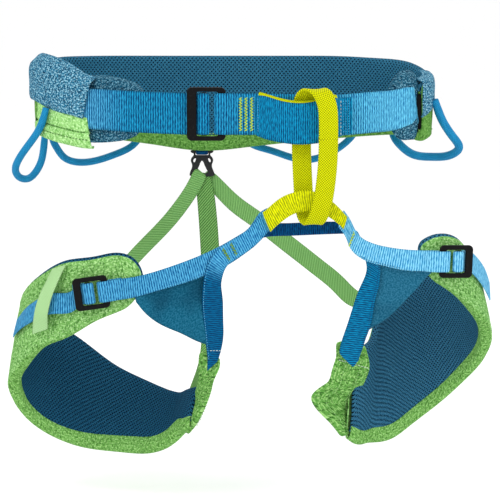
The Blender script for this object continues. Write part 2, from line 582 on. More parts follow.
R_INN_V = [
    ((113.4, -99.6, -109.8), (124.4, -99.6, -117.8)),
    ((115.6, -98.0, -122.0), (132.5, -98.0, -131.0)),
    ((123.7, -95.0, -133.4), (143.8, -95.0, -142.4)),
    ((131.0, -90.5, -144.0), (147.9, -93.4, -154.7)),
    ((133.9, -85.5, -156.8), (147.0, -93.6, -163.8)),
    ((128.6, -82.5, -173.4), (145.3, -90.0, -175.4)),
    ((122.8, -80.5, -188.9), (142.1, -85.0, -190.3)),
    ((114.0, -76.5, -218.1), (137.3, -76.5, -220.1)),
    ((109.2, -72.5, -234.1), (132.5, -72.5, -236.1)),
    ((107.8, -70.5, -246.8), (130.3, -68.5, -249.2)),
    ((110.0, -69.5, -259.3), (129.0, -64.0, -260.3)),
]
L_SLV_V = [
    ((-33.4, -62.0, -244.1), (-15.0, -67.0, -249.4)),
    ((-34.5, -57.0, -257.4), (-14.7, -67.0, -258.7)),
    ((-34.1, -47.0, -272.6), (-19.1, -66.0, -271.3)),
    ((-35.7, -34.0, -284.4), (-21.8, -63.0, -282.2)),
    ((-37.6, -22.0, -297.2), (-24.9, -58.0, -293.5)),
    ((-39.4, -12.0, -310.8), (-31.3, -50.0, -309.6)),
    ((-45.7, -12.0, -325.7), (-37.7, -42.0, -323.8)),
    ((-51.9, -16.0, -335.5), (-46.2, -36.0, -336.1)),
]
R_SLV_V = [
    ((106.4, -66.0, -233.1), (132.4, -66.0, -236.2)),
    ((105.4, -66.5, -241.3), (136.1, -60.0, -248.6)),
    ((105.5, -66.0, -249.6), (138.8, -50.0, -261.7)),
    ((101.5, -64.5, -265.3), (136.6, -38.0, -276.4)),
    ((96.6, -61.0, -279.4), (132.7, -26.0, -291.2)),
    ((82.1, -54.0, -295.3), (128.4, -19.0, -305.2)),
    ((97.8, -47.0, -316.0), (125.5, -17.0, -318.3)),
    ((116.0, -38.0, -337.3), (123.6, -22.0, -335.3)),
]
BRIDGE_V = [
    ((26.0, -99.0, -111.8), (28.9, -99.0, -123.9)),
    ((39.0, -89.0, -110.5), (38.0, -89.0, -123.5)),
    ((57.0, -84.0, -110.5), (57.1, -84.0, -123.4)),
    ((77.1, -83.0, -109.6), (77.1, -83.0, -122.7)),
    ((99.0, -86.0, -108.8), (100.1, -86.0, -121.4)),
    ((116.5, -98.0, -108.0), (116.5, -98.0, -119.5)),
]
TIELIN_V = [
    ((25.4, -95.4, 21.6), (25.4, -95.4, -20.5)),
    ((30.8, -97.3, 20.2), (30.9, -97.3, -23.3)),
    ((41.7, -101.7, 17.0), (41.7, -101.7, -26.5)),
    ((56.4, -106.7, 13.8), (56.5, -106.7, -28.6)),
    ((68.1, -109.2, 13.1), (68.2, -109.2, -28.9)),
    ((81.9, -109.7, 14.9), (82.0, -109.7, -27.9)),
    ((93.8, -105.8, 17.7), (94.0, -105.8, -26.2)),
    ((103.4, -98.6, 19.3), (103.6, -98.6, -21.3)),
]
RIS_L_V = [
    ((-40.8, 97.0, -70.9), (-31.2, 97.0, -79.5)),
    ((-43.3, 91.5, -72.8), (-30.5, 91.5, -79.6)),
    ((-46.5, 91.0, -78.5), (-32.7, 91.0, -85.7)),
    ((-53.2, 89.5, -90.8), (-40.0, 89.5, -99.0)),
    ((-64.7, 86.5, -107.3), (-52.3, 86.5, -116.7)),
    ((-77.1, 83.0, -122.5), (-65.7, 83.0, -133.1)),
    ((-107.2, 76.0, -153.3), (-95.6, 76.0, -163.7)),
    ((-144.4, 63.0, -197.2), (-132.6, 63.0, -207.4)),
    ((-164.3, 54.5, -219.7), (-152.7, 54.5, -229.9)),
    ((-188.1, 40.6, -238.8), (-178.4, 42.7, -249.4)),
    ((-198.4, 32.3, -249.9), (-188.7, 34.4, -260.5)),
]
RIS_M_V = [
    ((-38.2, 97.0, -75.5), (-26.2, 97.0, -76.7)),
    ((-40.2, 95.0, -81.5), (-25.2, 95.0, -81.1)),
    ((-40.8, 93.5, -95.1), (-22.4, 93.5, -93.3)),
    ((-39.7, 92.0, -109.0), (-20.3, 92.0, -107.4)),
    ((-36.2, 78.0, -158.2), (-16.0, 78.0, -157.0)),
    ((-33.9, 62.0, -209.9), (-13.7, 62.0, -209.5)),
    ((-34.6, 44.0, -244.6), (-14.6, 44.0, -245.0)),
    ((-37.6, 33.9, -272.0), (-19.4, 28.1, -268.0)),
    ((-52.7, 20.9, -314.2), (-42.6, 8.0, -304.5)),
    ((-55.7, 11.0, -326.4), (-45.6, -1.9, -316.8)),
]
RIS_R_V = [
    ((-36.2, 99.5, -80.3), (-27.2, 99.5, -72.3)),
    ((-32.9, 99.0, -86.3), (-21.9, 99.0, -76.1)),
    ((-22.6, 98.0, -98.5), (-10.6, 98.0, -86.5)),
    ((-6.0, 95.5, -115.4), (5.4, 95.5, -101.6)),
    ((18.0, 91.0, -132.9), (29.0, 91.0, -118.1)),
    ((47.0, 84.0, -154.9), (58.2, 84.0, -140.1)),
    ((68.5, 79.0, -171.2), (79.7, 79.0, -156.4)),
    ((86.7, 74.5, -185.1), (98.1, 74.5, -170.5)),
    ((105.8, 69.0, -200.5), (117.4, 69.0, -186.1)),
    ((124.7, 60.0, -216.0), (136.5, 60.0, -201.8)),
    ((155.7, 44.0, -220.3), (167.0, 51.4, -208.4)),
    ((167.1, 43.5, -230.9), (178.5, 50.9, -219.1)),
]


# ------------------------------------------------------------------ geometry
def unit(v):
    return v / np.maximum(np.linalg.norm(v, axis=-1, keepdims=True), 1e-9)


def spline(points, at, t):
    """Natural cubic through points at parameters at, read at t."""
    points = np.asarray(points, float)
    at = np.asarray(at, float)
    n = len(at)
    if n == 2:
        f = ((t - at[0]) / (at[1] - at[0]))[:, None]
        return points[0] * (1 - f) + points[1] * f
    gap = np.diff(at)
    a = np.zeros((n, n))
    r = np.zeros((n, points.shape[1]))
    a[0, 0] = a[-1, -1] = 1
    for i in range(1, n - 1):
        a[i, i - 1], a[i, i], a[i, i + 1] = gap[i - 1], 2 * (gap[i - 1] + gap[i]), gap[i]
        r[i] = 6 * ((points[i + 1] - points[i]) / gap[i] - (points[i] - points[i - 1]) / gap[i - 1])
    m = np.linalg.solve(a, r)
    k = np.clip(np.searchsorted(at, t, side="right") - 1, 0, n - 2)
    g, x0, x1 = gap[k][:, None], (t - at[k])[:, None], (at[k + 1] - t)[:, None]
    return (m[k] * x1 ** 3 + m[k + 1] * x0 ** 3) / (6 * g) + (points[k] / g - m[k] * g / 6) * x1 + (points[k + 1] / g - m[k + 1] * g / 6) * x0


def chord(points):
    return np.concatenate([[0], np.cumsum(np.linalg.norm(np.diff(points, axis=0), axis=1))])


class Strip:
    """A band between two long edges. u runs along it and v across it, both in mm; h is the height off its face."""

    def __init__(self, stations, facing=None, away=None, step=0.6, ends=(0, 0)):
        a = np.array([s[0] for s in stations], float)
        b = np.array([s[1] for s in stations], float)
        at = chord((a + b) / 2)
        count = max(int(at[-1] / step), 24)
        t = np.linspace(0, at[-1], count)
        self.a, self.b = spline(a, at, t), spline(b, at, t)
        self.settle(facing, away)
        self.round_ends(*ends)

    def settle(self, facing=None, away=None):
        mid = (self.a + self.b) / 2
        self.u = chord(mid)
        along = unit(np.gradient(mid, axis=0))
        self.across = unit(self.b - self.a)
        self.w = np.linalg.norm(self.b - self.a, axis=1)
        n = unit(np.cross(along, self.across))
        k = len(mid) // 2
        if facing is not None and n[k] @ np.array(facing, float) < 0:
            n = -n
        if away is not None and n[k] @ (mid[k] - np.array(away, float)) < 0:
            n = -n
        self.n, self.along = n, along
        self.length = self.u[-1]

    def round_ends(self, first, last):
        n = self.n
        for radius, run in ((first, self.u), (last, self.u[-1] - self.u)):
            if not radius:
                continue
            d = np.clip(run, 0, radius)
            inset = radius - np.sqrt(np.maximum(radius ** 2 - (radius - d) ** 2, 0))
            inset = np.minimum(inset, self.w * 0.42)[:, None]
            self.a = self.a + self.across * inset
            self.b = self.b - self.across * inset
        self.w = np.linalg.norm(self.b - self.a, axis=1)
        self.n = n

    def at(self, u, v, h):
        """Points at arrays u, v, h."""
        u = np.clip(u, 0, self.length)

        def read(field):
            return np.stack([np.interp(u, self.u, field[:, c]) for c in range(3)], -1)

        return read(self.a) + read(self.across) * np.asarray(v)[..., None] + unit(read(self.n)) * np.asarray(h)[..., None]

    def width(self, u):
        return np.interp(u, self.u, self.w)


def lerp_profile(profile, count):
    """A polyline of (v, h) read at even steps, smoothed through its points."""
    p = np.array(profile, float)
    at = chord(p)
    return spline(p, at, np.linspace(0, at[-1], count)) if len(p) > 2 else np.linspace(p[0], p[1], count)


def thicken(line, thick):
    """Closed outline round an open polyline, rounded at both ends."""
    d = unit(np.gradient(line, axis=0))
    n = np.stack([-d[:, 1], d[:, 0]], -1)
    top, low = line + n * thick / 2, line - n * thick / 2
    tip0 = line[0] - d[0] * thick * 0.45
    tip1 = line[-1] + d[-1] * thick * 0.45
    return np.vstack([[tip0], top, [tip1], low[::-1]])


def mesh_object(name, verts, faces, uvs=None, material=None, smooth=True):
    mesh = bpy.data.meshes.new(name)
    mesh.from_pydata([tuple(v) for v in verts], [], faces)
    if uvs is not None:
        layer = mesh.uv_layers.new(name="UVMap")
        loops = np.array([l.vertex_index for l in mesh.loops])
        layer.data.foreach_set("uv", np.asarray(uvs, np.float32)[loops].ravel())
    if smooth:
        mesh.polygons.foreach_set("use_smooth", [True] * len(mesh.polygons))
    mesh.update()
    obj = bpy.data.objects.new(name, mesh)
    bpy.context.scene.collection.objects.link(obj)
    if material:
        mesh.materials.append(material)
    return obj


def recalc(obj):
    import bmesh

    bm = bmesh.new()
    bm.from_mesh(obj.data)
    bmesh.ops.recalc_face_normals(bm, faces=bm.faces)
    bm.to_mesh(obj.data)
    bm.free()


def ripple(co, size, amount, seed=0.0):
    """Smooth noise of about size mm, for cloth that is never quite flat."""
    out = np.empty(len(co))
    for i, p in enumerate(co):
        out[i] = noise.noise(Vector((p[0] / size + seed, p[1] / size - seed, p[2] / size + 2 * seed)))
    return out * amount


def sweep(name, strip, outline, material, us=None, wave=None, start=None, stop=None, closed=False, flat_uv=True, seed=0.0):
    """Sweeps closed outlines along the strip. outline(u, w) gives (v, h) points and, as a third column, the
    cloth's own across coordinate. start(v/w) and stop(v/w) cut the two ends to a shape, in mm."""
    if us is None:
        us = np.linspace(0, strip.length, max(int(strip.length / 1.6), 12))
    rings, uv = [], []
    for u in us:
        w = float(strip.width(u))
        o = np.array(outline(float(u), w), float)
        share = np.clip(o[:, 0] / max(w, 1e-6), 0, 1)
        uu = np.full(len(o), float(u))
        if start is not None:
            uu = start(share) + (uu - us[0]) * (us[-1] - start(share)) / (us[-1] - us[0])
        if stop is not None:
            low = us[0] if start is None else start(share)
            uu = low + (uu - low) * (us[-1] - stop(share) - low) / (us[-1] - low)
        p = strip.at(uu, o[:, 0], o[:, 1])
        if wave is not None:
            off = wave(p, uu, o)
            base = strip.at(uu, o[:, 0], o[:, 1] + 1.0) - p
            p = p + base * off[:, None]
        rings.append(p)
        uv.append(np.stack([uu, o[:, 2] if o.shape[1] > 2 else o[:, 0]], -1))
    k = len(rings[0])
    verts = np.vstack(rings) * MM
    uvs = np.vstack(uv)
    faces = []
    m = len(rings)
    for i in range(m if closed else m - 1):
        j = (i + 1) % m
        for q in range(k):
            r = (q + 1) % k
            faces.append((i * k + q, i * k + r, j * k + r, j * k + q))
    if not closed:
        faces.append(tuple(range(k - 1, -1, -1)))
        faces.append(tuple((m - 1) * k + q for q in range(k)))
    obj = mesh_object(name, verts, faces, uvs, material)
    recalc(obj)
    return obj


def webbing_outline(thick, crown=0.0, count=15):
    """Flat webbing with full, rounded edges."""

    def outline(u, w):
        v = np.linspace(0.0, 1.0, count)
        edge = np.minimum(v, 1 - v) * w
        h = thick / 2 * np.sqrt(np.clip(1 - np.clip(1 - edge / (thick * 0.55), 0, 1) ** 2, 0, 1))
        lift = crown * np.sin(np.pi * v)
        top = np.stack([v * w, h + lift, v * w], -1)
        low = np.stack([v * w, -h + lift, v * w], -1)
        return np.vstack([top, low[1:-1][::-1]])

    return outline


def sheet_outline(profile, thick, count=26):
    """profile(u, w) gives the polyline of a cloth's section; the cloth has its own thickness."""

    def outline(u, w):
        line = lerp_profile(profile(u, w), count)
        ring = thicken(line, thick)
        run = chord(line)
        own = np.concatenate([[0], run, [run[-1]], run[::-1]])
        return np.column_stack([ring, own])

    return outline


def upright(path, width):
    return [((x, y, z + width / 2), (x, y, z - width / 2)) for x, y, z in path]


def tube(name, points, radius, material, sides=14, step=1.2, flatten=None):
    """A round cord along a path; radius may vary with the share of its length."""
    p = np.array(points, float)
    at = chord(p)
    count = max(int(at[-1] / step), 8)
    c = spline(p, at, np.linspace(0, at[-1], count))
    d = unit(np.gradient(c, axis=0))
    side = unit(np.cross(d[0], np.array([0.0, 0.3, 1.0])))
    frames = []
    for i in range(count):
        side = unit(side - d[i] * (side @ d[i]))
        frames.append((side.copy(), np.cross(d[i], side)))
    run = chord(c)
    verts, uvs = [], []
    for i in range(count):
        r = radius(run[i] / run[-1]) if callable(radius) else radius
        for k in range(sides + 1):
            q = 2 * math.pi * k / sides
            verts.append((c[i] + frames[i][0] * math.cos(q) * r + frames[i][1] * math.sin(q) * r) * MM)
            uvs.append((run[i], r * q))
    faces = []
    n = sides + 1
    for i in range(count - 1):
        for k in range(sides):
            faces.append((i * n + k, i * n + k + 1, (i + 1) * n + k + 1, (i + 1) * n + k))
    faces.append(tuple(range(sides - 1, -1, -1)))
    faces.append(tuple((count - 1) * n + k for k in range(sides)))
    obj = mesh_object(name, verts, faces, uvs, material)
    recalc(obj)
    return obj


def join(name, parts):
    """One object out of several, keeping their materials."""
    with bpy.context.temp_override(active_object=parts[0], selected_editable_objects=parts, object=parts[0], selected_objects=parts):
        bpy.ops.object.join()
    parts[0].name = name
    return parts[0]


class Thread:
    """Collects stitches as small round threads and makes one mesh of them."""

    def __init__(self):
        self.verts, self.faces = [], []

    def run(self, points, radius, up=None):
        c = np.array(points, float)
        d = unit(np.gradient(c, axis=0))
        side = unit(np.cross(d, np.array([0.21, 0.53, 0.82])))
        other = np.cross(d, side)
        base = len(self.verts)
        sides = 6
        for i in range(len(c)):
            r = radius * (0.45 if i in (0, len(c) - 1) else 1.0)
            for k in range(sides):
                q = 2 * math.pi * k / sides
                self.verts.append((c[i] + side[i] * math.cos(q) * r + other[i] * math.sin(q) * r) * MM)
        for i in range(len(c) - 1):
            for k in range(sides):
                j = (k + 1) % sides
                self.faces.append((base + i * sides + k, base + i * sides + j, base + (i + 1) * sides + j, base + (i + 1) * sides + k))
        self.faces.append(tuple(base + k for k in range(sides - 1, -1, -1)))
        self.faces.append(tuple(base + (len(c) - 1) * sides + k for k in range(sides)))

    def seam(self, strip, u0, u1, v, h, dash=2.6, gap=1.3, radius=0.34, inset=None):
        """A line of stitches along the strip at v (a number or a share function of u)."""
        u = u0
        while u + dash <= u1:
            uu = np.linspace(u, u + dash, 4)
            vv = np.array([v(x) if callable(v) else v for x in uu])
            hh = np.array([h(x) if callable(h) else h for x in uu]) + np.array([-0.25, 0.12, 0.12, -0.25])
            self.run(strip.at(uu, vv, hh), radius)
            u += dash + gap

    def cross(self, strip, u, v0, v1, h, dash=2.4, gap=1.1, radius=0.34):
        """A line of stitches across the strip."""
        v = v0
        while v + dash <= v1:
            vv = np.linspace(v, v + dash, 4)
            uu = np.full(4, float(u))
            self.run(strip.at(uu, vv, np.full(4, h) + np.array([-0.25, 0.1, 0.1, -0.25])), radius)
            v += dash + gap

    def tack(self, strip, u, v0, v1, h, wide=3.2, pitch=1.5, radius=0.42, along=False):
        """A zigzag bar tack across the strip (or along it)."""
        n = max(int((v1 - v0) / pitch), 4)
        vv = np.linspace(v0, v1, n)
        uu = u + np.where(np.arange(n) % 2 == 0, -wide / 2, wide / 2)
        fine_v, fine_u = [], []
        for i in range(n - 1):
            for f in (0.0, 0.33, 0.66):
                fine_v.append(vv[i] + (vv[i + 1] - vv[i]) * f)
                fine_u.append(uu[i] + (uu[i + 1] - uu[i]) * f)
        fine_v.append(vv[-1])
        fine_u.append(uu[-1])
        fine_v, fine_u = np.array(fine_v), np.array(fine_u)
        if along:
            pts = strip.at(fine_v, fine_u, np.full(len(fine_v), h))
        else:
            pts = strip.at(fine_u, fine_v, np.full(len(fine_v), h))
        self.run(pts, radius)

    def done(self, name, material):
        obj = mesh_object(name, self.verts, self.faces, [(0.0, 0.0)] * len(self.verts), material)
        return obj


def settle(obj, node, body=None, extra=(), tolerance=6.0, slot=None):
    """Moves a finished piece so that it sits on its CAD node, lets it ride there and hides the node."""
    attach(obj, body or body_of_node[node])
    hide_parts(node, *extra)
    return obj


# ----------------------------------------------------------------- materials
def srgb(r, g, b):
    def f(c):
        c = c / 255.0
        return c / 12.92 if c <= 0.04045 else ((c + 0.055) / 1.055) ** 2.4

    return (f(r), f(g), f(b), 1.0)


class Paint:
    """A small builder for node materials."""

    def __init__(self, name, rough=0.8, metallic=0.0, sheen=0.0, spec=0.3):
        self.mat = bpy.data.materials.new(name)
        self.mat.use_nodes = True
        self.t = self.mat.node_tree
        self.p = self.t.nodes["Principled BSDF"]
        self.p.inputs["Roughness"].default_value = rough
        self.p.inputs["Metallic"].default_value = metallic
        self.p.inputs["Specular IOR Level"].default_value = spec
        if sheen:
            self.p.inputs["Sheen Weight"].default_value = sheen
            self.p.inputs["Sheen Roughness"].default_value = 0.5

    def put(self, socket, value):
        if isinstance(value, bpy.types.NodeSocket):
            self.t.links.new(value, socket)
        else:
            socket.default_value = value

    def math(self, op, a, b=0.0, c=0.0, clamp=False):
        n = self.t.nodes.new("ShaderNodeMath")
        n.operation = op
        n.use_clamp = clamp
        self.put(n.inputs[0], a)
        self.put(n.inputs[1], b)
        if op in ("MULTIPLY_ADD", "SMOOTH_MIN", "SMOOTH_MAX"):
            self.put(n.inputs[2], c)
        return n.outputs[0]

    def uv(self):
        n = self.t.nodes.new("ShaderNodeUVMap")
        n.uv_map = "UVMap"
        s = self.t.nodes.new("ShaderNodeSeparateXYZ")
        self.t.links.new(n.outputs[0], s.inputs[0])
        return s.outputs[0], s.outputs[1]

    def place(self):
        n = self.t.nodes.new("ShaderNodeTexCoord")
        return n.outputs["Object"]

    def vec(self, x, y, z=0.0):
        n = self.t.nodes.new("ShaderNodeCombineXYZ")
        self.put(n.inputs[0], x)
        self.put(n.inputs[1], y)
        self.put(n.inputs[2], z)
        return n.outputs[0]

    def noise(self, vector, scale, detail=2.0, rough=0.5):
        n = self.t.nodes.new("ShaderNodeTexNoise")
        self.put(n.inputs["Vector"], vector)
        n.inputs["Scale"].default_value = scale
        n.inputs["Detail"].default_value = detail
        n.inputs["Roughness"].default_value = rough
        return n.outputs["Fac"]

    def white(self, vector):
        n = self.t.nodes.new("ShaderNodeTexWhiteNoise")
        n.noise_dimensions = "3D"
        self.put(n.inputs["Vector"], vector)
        return n.outputs["Value"]

    def ramp(self, value, lo, hi, a=0.0, b=1.0):
        n = self.t.nodes.new("ShaderNodeMapRange")
        n.interpolation_type = "SMOOTHSTEP"
        self.put(n.inputs["Value"], value)
        n.inputs["From Min"].default_value = lo
        n.inputs["From Max"].default_value = hi
        n.inputs["To Min"].default_value = a
        n.inputs["To Max"].default_value = b
        return n.outputs[0]

    def mix(self, f, a, b):
        n = self.t.nodes.new("ShaderNodeMix")
        n.data_type = "RGBA"
        self.put(n.inputs["Factor"], f)
        self.put(n.inputs[6], a)
        self.put(n.inputs[7], b)
        return n.outputs[2]

    def wave(self, x, pitch, phase=0.0):
        """0..1 sine of x with the given pitch."""
        s = self.math("SINE", self.math("MULTIPLY_ADD", x, 2 * math.pi / pitch, phase))
        return self.math("MULTIPLY_ADD", s, 0.5, 0.5)

    def colour(self, value):
        self.put(self.p.inputs["Base Color"], value)

    def rough(self, value):
        self.put(self.p.inputs["Roughness"], value)

    def bump(self, height, strength=0.5, distance=0.0006):
        n = self.t.nodes.new("ShaderNodeBump")
        n.inputs["Strength"].default_value = strength
        n.inputs["Distance"].default_value = distance
        self.put(n.inputs["Height"], height)
        self.t.links.new(n.outputs[0], self.p.inputs["Normal"])
        return self


def ribbed(name, light, dark, pitch=2.5, fine=0.9, depth=0.0007, rough=0.66, sheen=0.04, lift=None, fade=None):
    """Webbing with ribs across the strap. lift brightens it between two places along x, fade between two along u."""
    m = Paint(name, rough, sheen=0.0, spec=0.07)
    u, v = m.uv()
    drift = m.noise(m.vec(m.math("MULTIPLY", u, 0.05), m.math("MULTIPLY", v, 0.25)), 1.0, 2.0)
    uu = m.math("MULTIPLY_ADD", drift, 0.9, u)
    rib = m.wave(uu, pitch)
    fleck = m.ramp(m.noise(m.vec(m.math("MULTIPLY", u, 0.75), m.math("MULTIPLY", v, 0.22)), 1.0, 3.0), 0.32, 0.68)
    warp = m.wave(v, fine)
    patch = m.noise(m.place(), 22.0, 2.0)
    f = m.math("ADD", m.math("MULTIPLY", rib, 0.56), m.math("ADD", m.math("MULTIPLY", fleck, 0.42), m.math("MULTIPLY", patch, 0.12)))
    f = m.math("MULTIPLY_ADD", f, 1.6, -0.42, clamp=True)
    if lift:
        s = m.t.nodes.new("ShaderNodeSeparateXYZ")
        m.t.links.new(m.place(), s.inputs[0])
        k = m.ramp(s.outputs[0], lift[0], lift[1]) if lift[1] > lift[0] else m.ramp(s.outputs[0], lift[1], lift[0], 1.0, 0.0)
        light, dark = m.mix(k, light, lift[2]), m.mix(k, dark, lift[3])
    if fade:
        k = m.ramp(u, fade[0], fade[1])
        light, dark = m.mix(k, fade[2], light), m.mix(k, fade[3], dark)
    m.colour(m.mix(f, dark, light))
    height = m.math("ADD", rib, m.math("ADD", m.math("MULTIPLY", warp, 0.22), m.math("MULTIPLY", fleck, 0.25)))
    m.bump(height, 0.85, depth)
    m.rough(m.math("MULTIPLY_ADD", fleck, 0.2, rough - 0.1))
    return m.mat


def spacer_mesh(name, base, dark, light, pu=4.3, pv=2.3, hole=0.92):
    """Padded mesh: rows of small open cells, every second row shifted by half a cell."""
    m = Paint(name, 0.9, spec=0.05)
    u, v = m.uv()
    wob = m.noise(m.vec(m.math("MULTIPLY", u, 0.12), m.math("MULTIPLY", v, 0.12)), 1.0, 2.0)
    u, v = m.math("MULTIPLY_ADD", wob, 1.6, u), m.math("MULTIPLY_ADD", wob, 1.1, v)
    row = m.math("FLOOR", m.math("DIVIDE", v, pv))
    shift = m.math("MULTIPLY", m.math("MODULO", m.math("ABSOLUTE", row), 2.0), 0.5)
    du = m.math("SUBTRACT", m.math("FRACT", m.math("ADD", m.math("DIVIDE", u, pu), shift)), 0.5)
    dv = m.math("SUBTRACT", m.math("FRACT", m.math("DIVIDE", v, pv)), 0.5)
    d = m.math("SQRT", m.math("ADD", m.math("POWER", m.math("MULTIPLY", du, pu), 2.0), m.math("POWER", m.math("MULTIPLY", dv, pv * 1.15), 2.0)))
    hol = m.ramp(d, hole * 1.2, hole * 0.55, 0.0, 1.0)
    fleck = m.ramp(m.noise(m.vec(m.math("MULTIPLY", u, 0.7), m.math("MULTIPLY", v, 1.3)), 1.0, 3.0), 0.35, 0.68)
    patch = m.noise(m.place(), 14.0, 2.0)
    body = m.mix(m.math("ADD", m.math("MULTIPLY", fleck, 0.85), m.math("MULTIPLY", patch, 0.25)), base, light)
    m.colour(m.mix(m.math("MULTIPLY", hol, 1.0), body, dark))
    m.bump(m.math("SUBTRACT", m.math("MULTIPLY", fleck, 0.35), hol), 0.9, 0.0012)
    return m.mat


def melange(name, base, light, dark, size=1.5, streak=1.8, depth=0.0004, amount=1.0):
    """Two yarn colours woven together."""
    m = Paint(name, 0.9, spec=0.05)
    u, v = m.uv()
    a = m.noise(m.vec(m.math("DIVIDE", u, size * streak), m.math("DIVIDE", v, size)), 1.0, 3.0, 0.55)
    b = m.noise(m.vec(m.math("DIVIDE", u, size), m.math("DIVIDE", v, size * streak), 7.3), 1.0, 3.0, 0.55)
    patch = m.noise(m.place(), 12.0, 2.0)
    c = m.mix(m.math("MULTIPLY", m.ramp(a, 0.48, 0.60), 0.9 * amount), base, light)
    c = m.mix(m.math("MULTIPLY", m.ramp(b, 0.49, 0.62), 0.85 * amount), c, dark)
    c = m.mix(m.math("MULTIPLY", patch, 0.15), c, dark)
    m.colour(c)
    weave = m.math("MULTIPLY", m.wave(u, size * 0.9), m.wave(v, size * 0.9))
    m.bump(m.math("ADD", weave, m.math("MULTIPLY", a, 0.8)), 0.7, depth)
    return m.mat


def square_weave(name, light, dark, pitch=2.3, depth=0.0006):
    m = Paint(name, 0.74, spec=0.07)
    u, v = m.uv()
    a = m.wave(u, pitch)
    b = m.wave(v, pitch)
    k = m.math("MULTIPLY", a, b)
    k2 = m.math("MULTIPLY", m.math("SUBTRACT", 1.0, a), m.math("SUBTRACT", 1.0, b))
    cell = m.math("ADD", k, k2)
    fleck = m.noise(m.vec(m.math("MULTIPLY", u, 0.9), m.math("MULTIPLY", v, 0.9)), 1.0, 3.0)
    patch = m.noise(m.place(), 20.0, 2.0)
    f = m.math("ADD", m.math("MULTIPLY", cell, 0.75), m.math("ADD", m.math("MULTIPLY", fleck, 0.3), m.math("MULTIPLY", patch, 0.12)))
    m.colour(m.mix(m.math("MULTIPLY_ADD", f, 1.5, -0.32, clamp=True), dark, light))
    m.bump(m.math("ADD", cell, m.math("MULTIPLY", fleck, 0.3)), 0.8, depth)
    return m.mat


def twill(name, light, dark, pitch=2.0, depth=0.0005):
    m = Paint(name, 0.8, spec=0.06)
    u, v = m.uv()
    diag = m.wave(m.math("ADD", u, v), pitch)
    fleck = m.noise(m.vec(u, v), 0.9, 3.0)
    f = m.math("ADD", m.math("MULTIPLY", diag, 0.7), m.math("MULTIPLY", fleck, 0.35))
    m.colour(m.mix(m.math("MULTIPLY_ADD", f, 1.1, -0.05, clamp=True), dark, light))
    m.bump(m.math("ADD", diag, m.math("MULTIPLY", fleck, 0.4)), 0.75, depth)
    return m.mat


def knit(name, base, light, dark, pitch=0.9):
    m = Paint(name, 0.8, spec=0.06)
    u, v = m.uv()
    col = m.wave(v, pitch)
    fleck = m.ramp(m.noise(m.vec(u, v), 0.55, 4.0), 0.36, 0.64)
    fold = m.noise(m.place(), 18.0, 2.0)
    c = m.mix(m.math("MULTIPLY", fleck, 0.5), base, light)
    c = m.mix(m.math("MULTIPLY", m.ramp(fold, 0.4, 0.65), 0.55), c, dark)
    m.colour(c)
    m.bump(m.math("ADD", m.math("MULTIPLY", col, 0.6), fleck), 0.45, 0.0003)
    return m.mat


def braid(name, light, dark, pitch=3.2, around=2.3):
    """Sheathed cord: a diamond braid with streaks along it."""
    m = Paint(name, 0.6, spec=0.12)
    u, v = m.uv()
    a = m.wave(m.math("ADD", m.math("DIVIDE", u, pitch), m.math("DIVIDE", v, around)), 1.0)
    b = m.wave(m.math("SUBTRACT", m.math("DIVIDE", u, pitch), m.math("DIVIDE", v, around)), 1.0)
    k = m.math("MAXIMUM", a, b)
    streak = m.noise(m.vec(m.math("MULTIPLY", u, 0.08), m.math("MULTIPLY", v, 1.1)), 1.0, 3.0)
    f = m.math("ADD", m.math("MULTIPLY", k, 0.35), m.math("MULTIPLY", streak, 0.8))
    m.colour(m.mix(m.math("MULTIPLY_ADD", f, 1.2, -0.2, clamp=True), dark, light))
    m.bump(m.math("ADD", m.math("MULTIPLY", k, 0.7), streak), 0.6, 0.0004)
    return m.mat


def thread_paint(name, colour, dark):
    m = Paint(name, 0.6, sheen=0.03, spec=0.2)
    n = m.noise(m.place(), 900.0, 2.0)
    m.colour(m.mix(m.ramp(n, 0.3, 0.7), dark, colour))
    m.bump(n, 0.4, 0.0002)
    return m.mat


def hard(name, base, worn, rough=0.35, metallic=0.0, wear=0.55, grain=420.0, spec=0.32):
    """Painted metal or moulded plastic with slightly worn edges."""
    m = Paint(name, rough, metallic, spec=spec)
    g = m.t.nodes.new("ShaderNodeNewGeometry")
    edge = m.ramp(g.outputs["Pointiness"], 0.53, 0.60)
    blot = m.noise(m.place(), 160.0, 4.0)
    f = m.math("MULTIPLY", edge, m.ramp(blot, 0.35, 0.65, 0.35, 1.0))
    fine = m.noise(m.place(), grain, 3.0)
    tone = m.mix(m.math("MULTIPLY", m.ramp(fine, 0.5, 0.8), 0.06), base, worn)
    m.colour(m.mix(m.math("MULTIPLY", f, wear), tone, worn))
    m.rough(m.math("MULTIPLY_ADD", fine, 0.22, rough - 0.08))
    m.bump(fine, 0.25, 0.00015)
    return m.mat


def foam_paint(name, base, dark):
    m = Paint(name, 0.9)
    n = m.noise(m.place(), 900.0, 3.0)
    m.colour(m.mix(n, dark, base))
    m.bump(n, 0.5, 0.0004)
    return m.mat


# ------------------------------------------------------------------- palette
GREEN = melange("shell_green", srgb(124, 182, 96), srgb(184, 232, 154), srgb(58, 116, 40), 1.6, 1.9)
GREEN_EDGE = melange("binding_green", srgb(112, 170, 82), srgb(168, 218, 134), srgb(58, 112, 38), 1.5, 1.6)
GREEN_BELT = melange("belt_green", srgb(96, 152, 66), srgb(136, 190, 100), srgb(58, 108, 40), 1.6, 1.8)
GREEN_TAB = melange("tab_green", srgb(158, 214, 128), srgb(204, 248, 176), srgb(102, 166, 76), 1.7, 1.8)
GREEN_SLEEVE = melange("sleeve_green", srgb(102, 164, 74), srgb(172, 222, 134), srgb(36, 88, 24), 1.9, 2.2)
MESH = spacer_mesh("mesh_petrol", srgb(14, 76, 108), srgb(0, 8, 24), srgb(62, 128, 158))
LEG_MESH = spacer_mesh("leg_mesh_petrol", srgb(0, 53, 82), srgb(0, 4, 14), srgb(44, 104, 138), 4.0, 2.2)
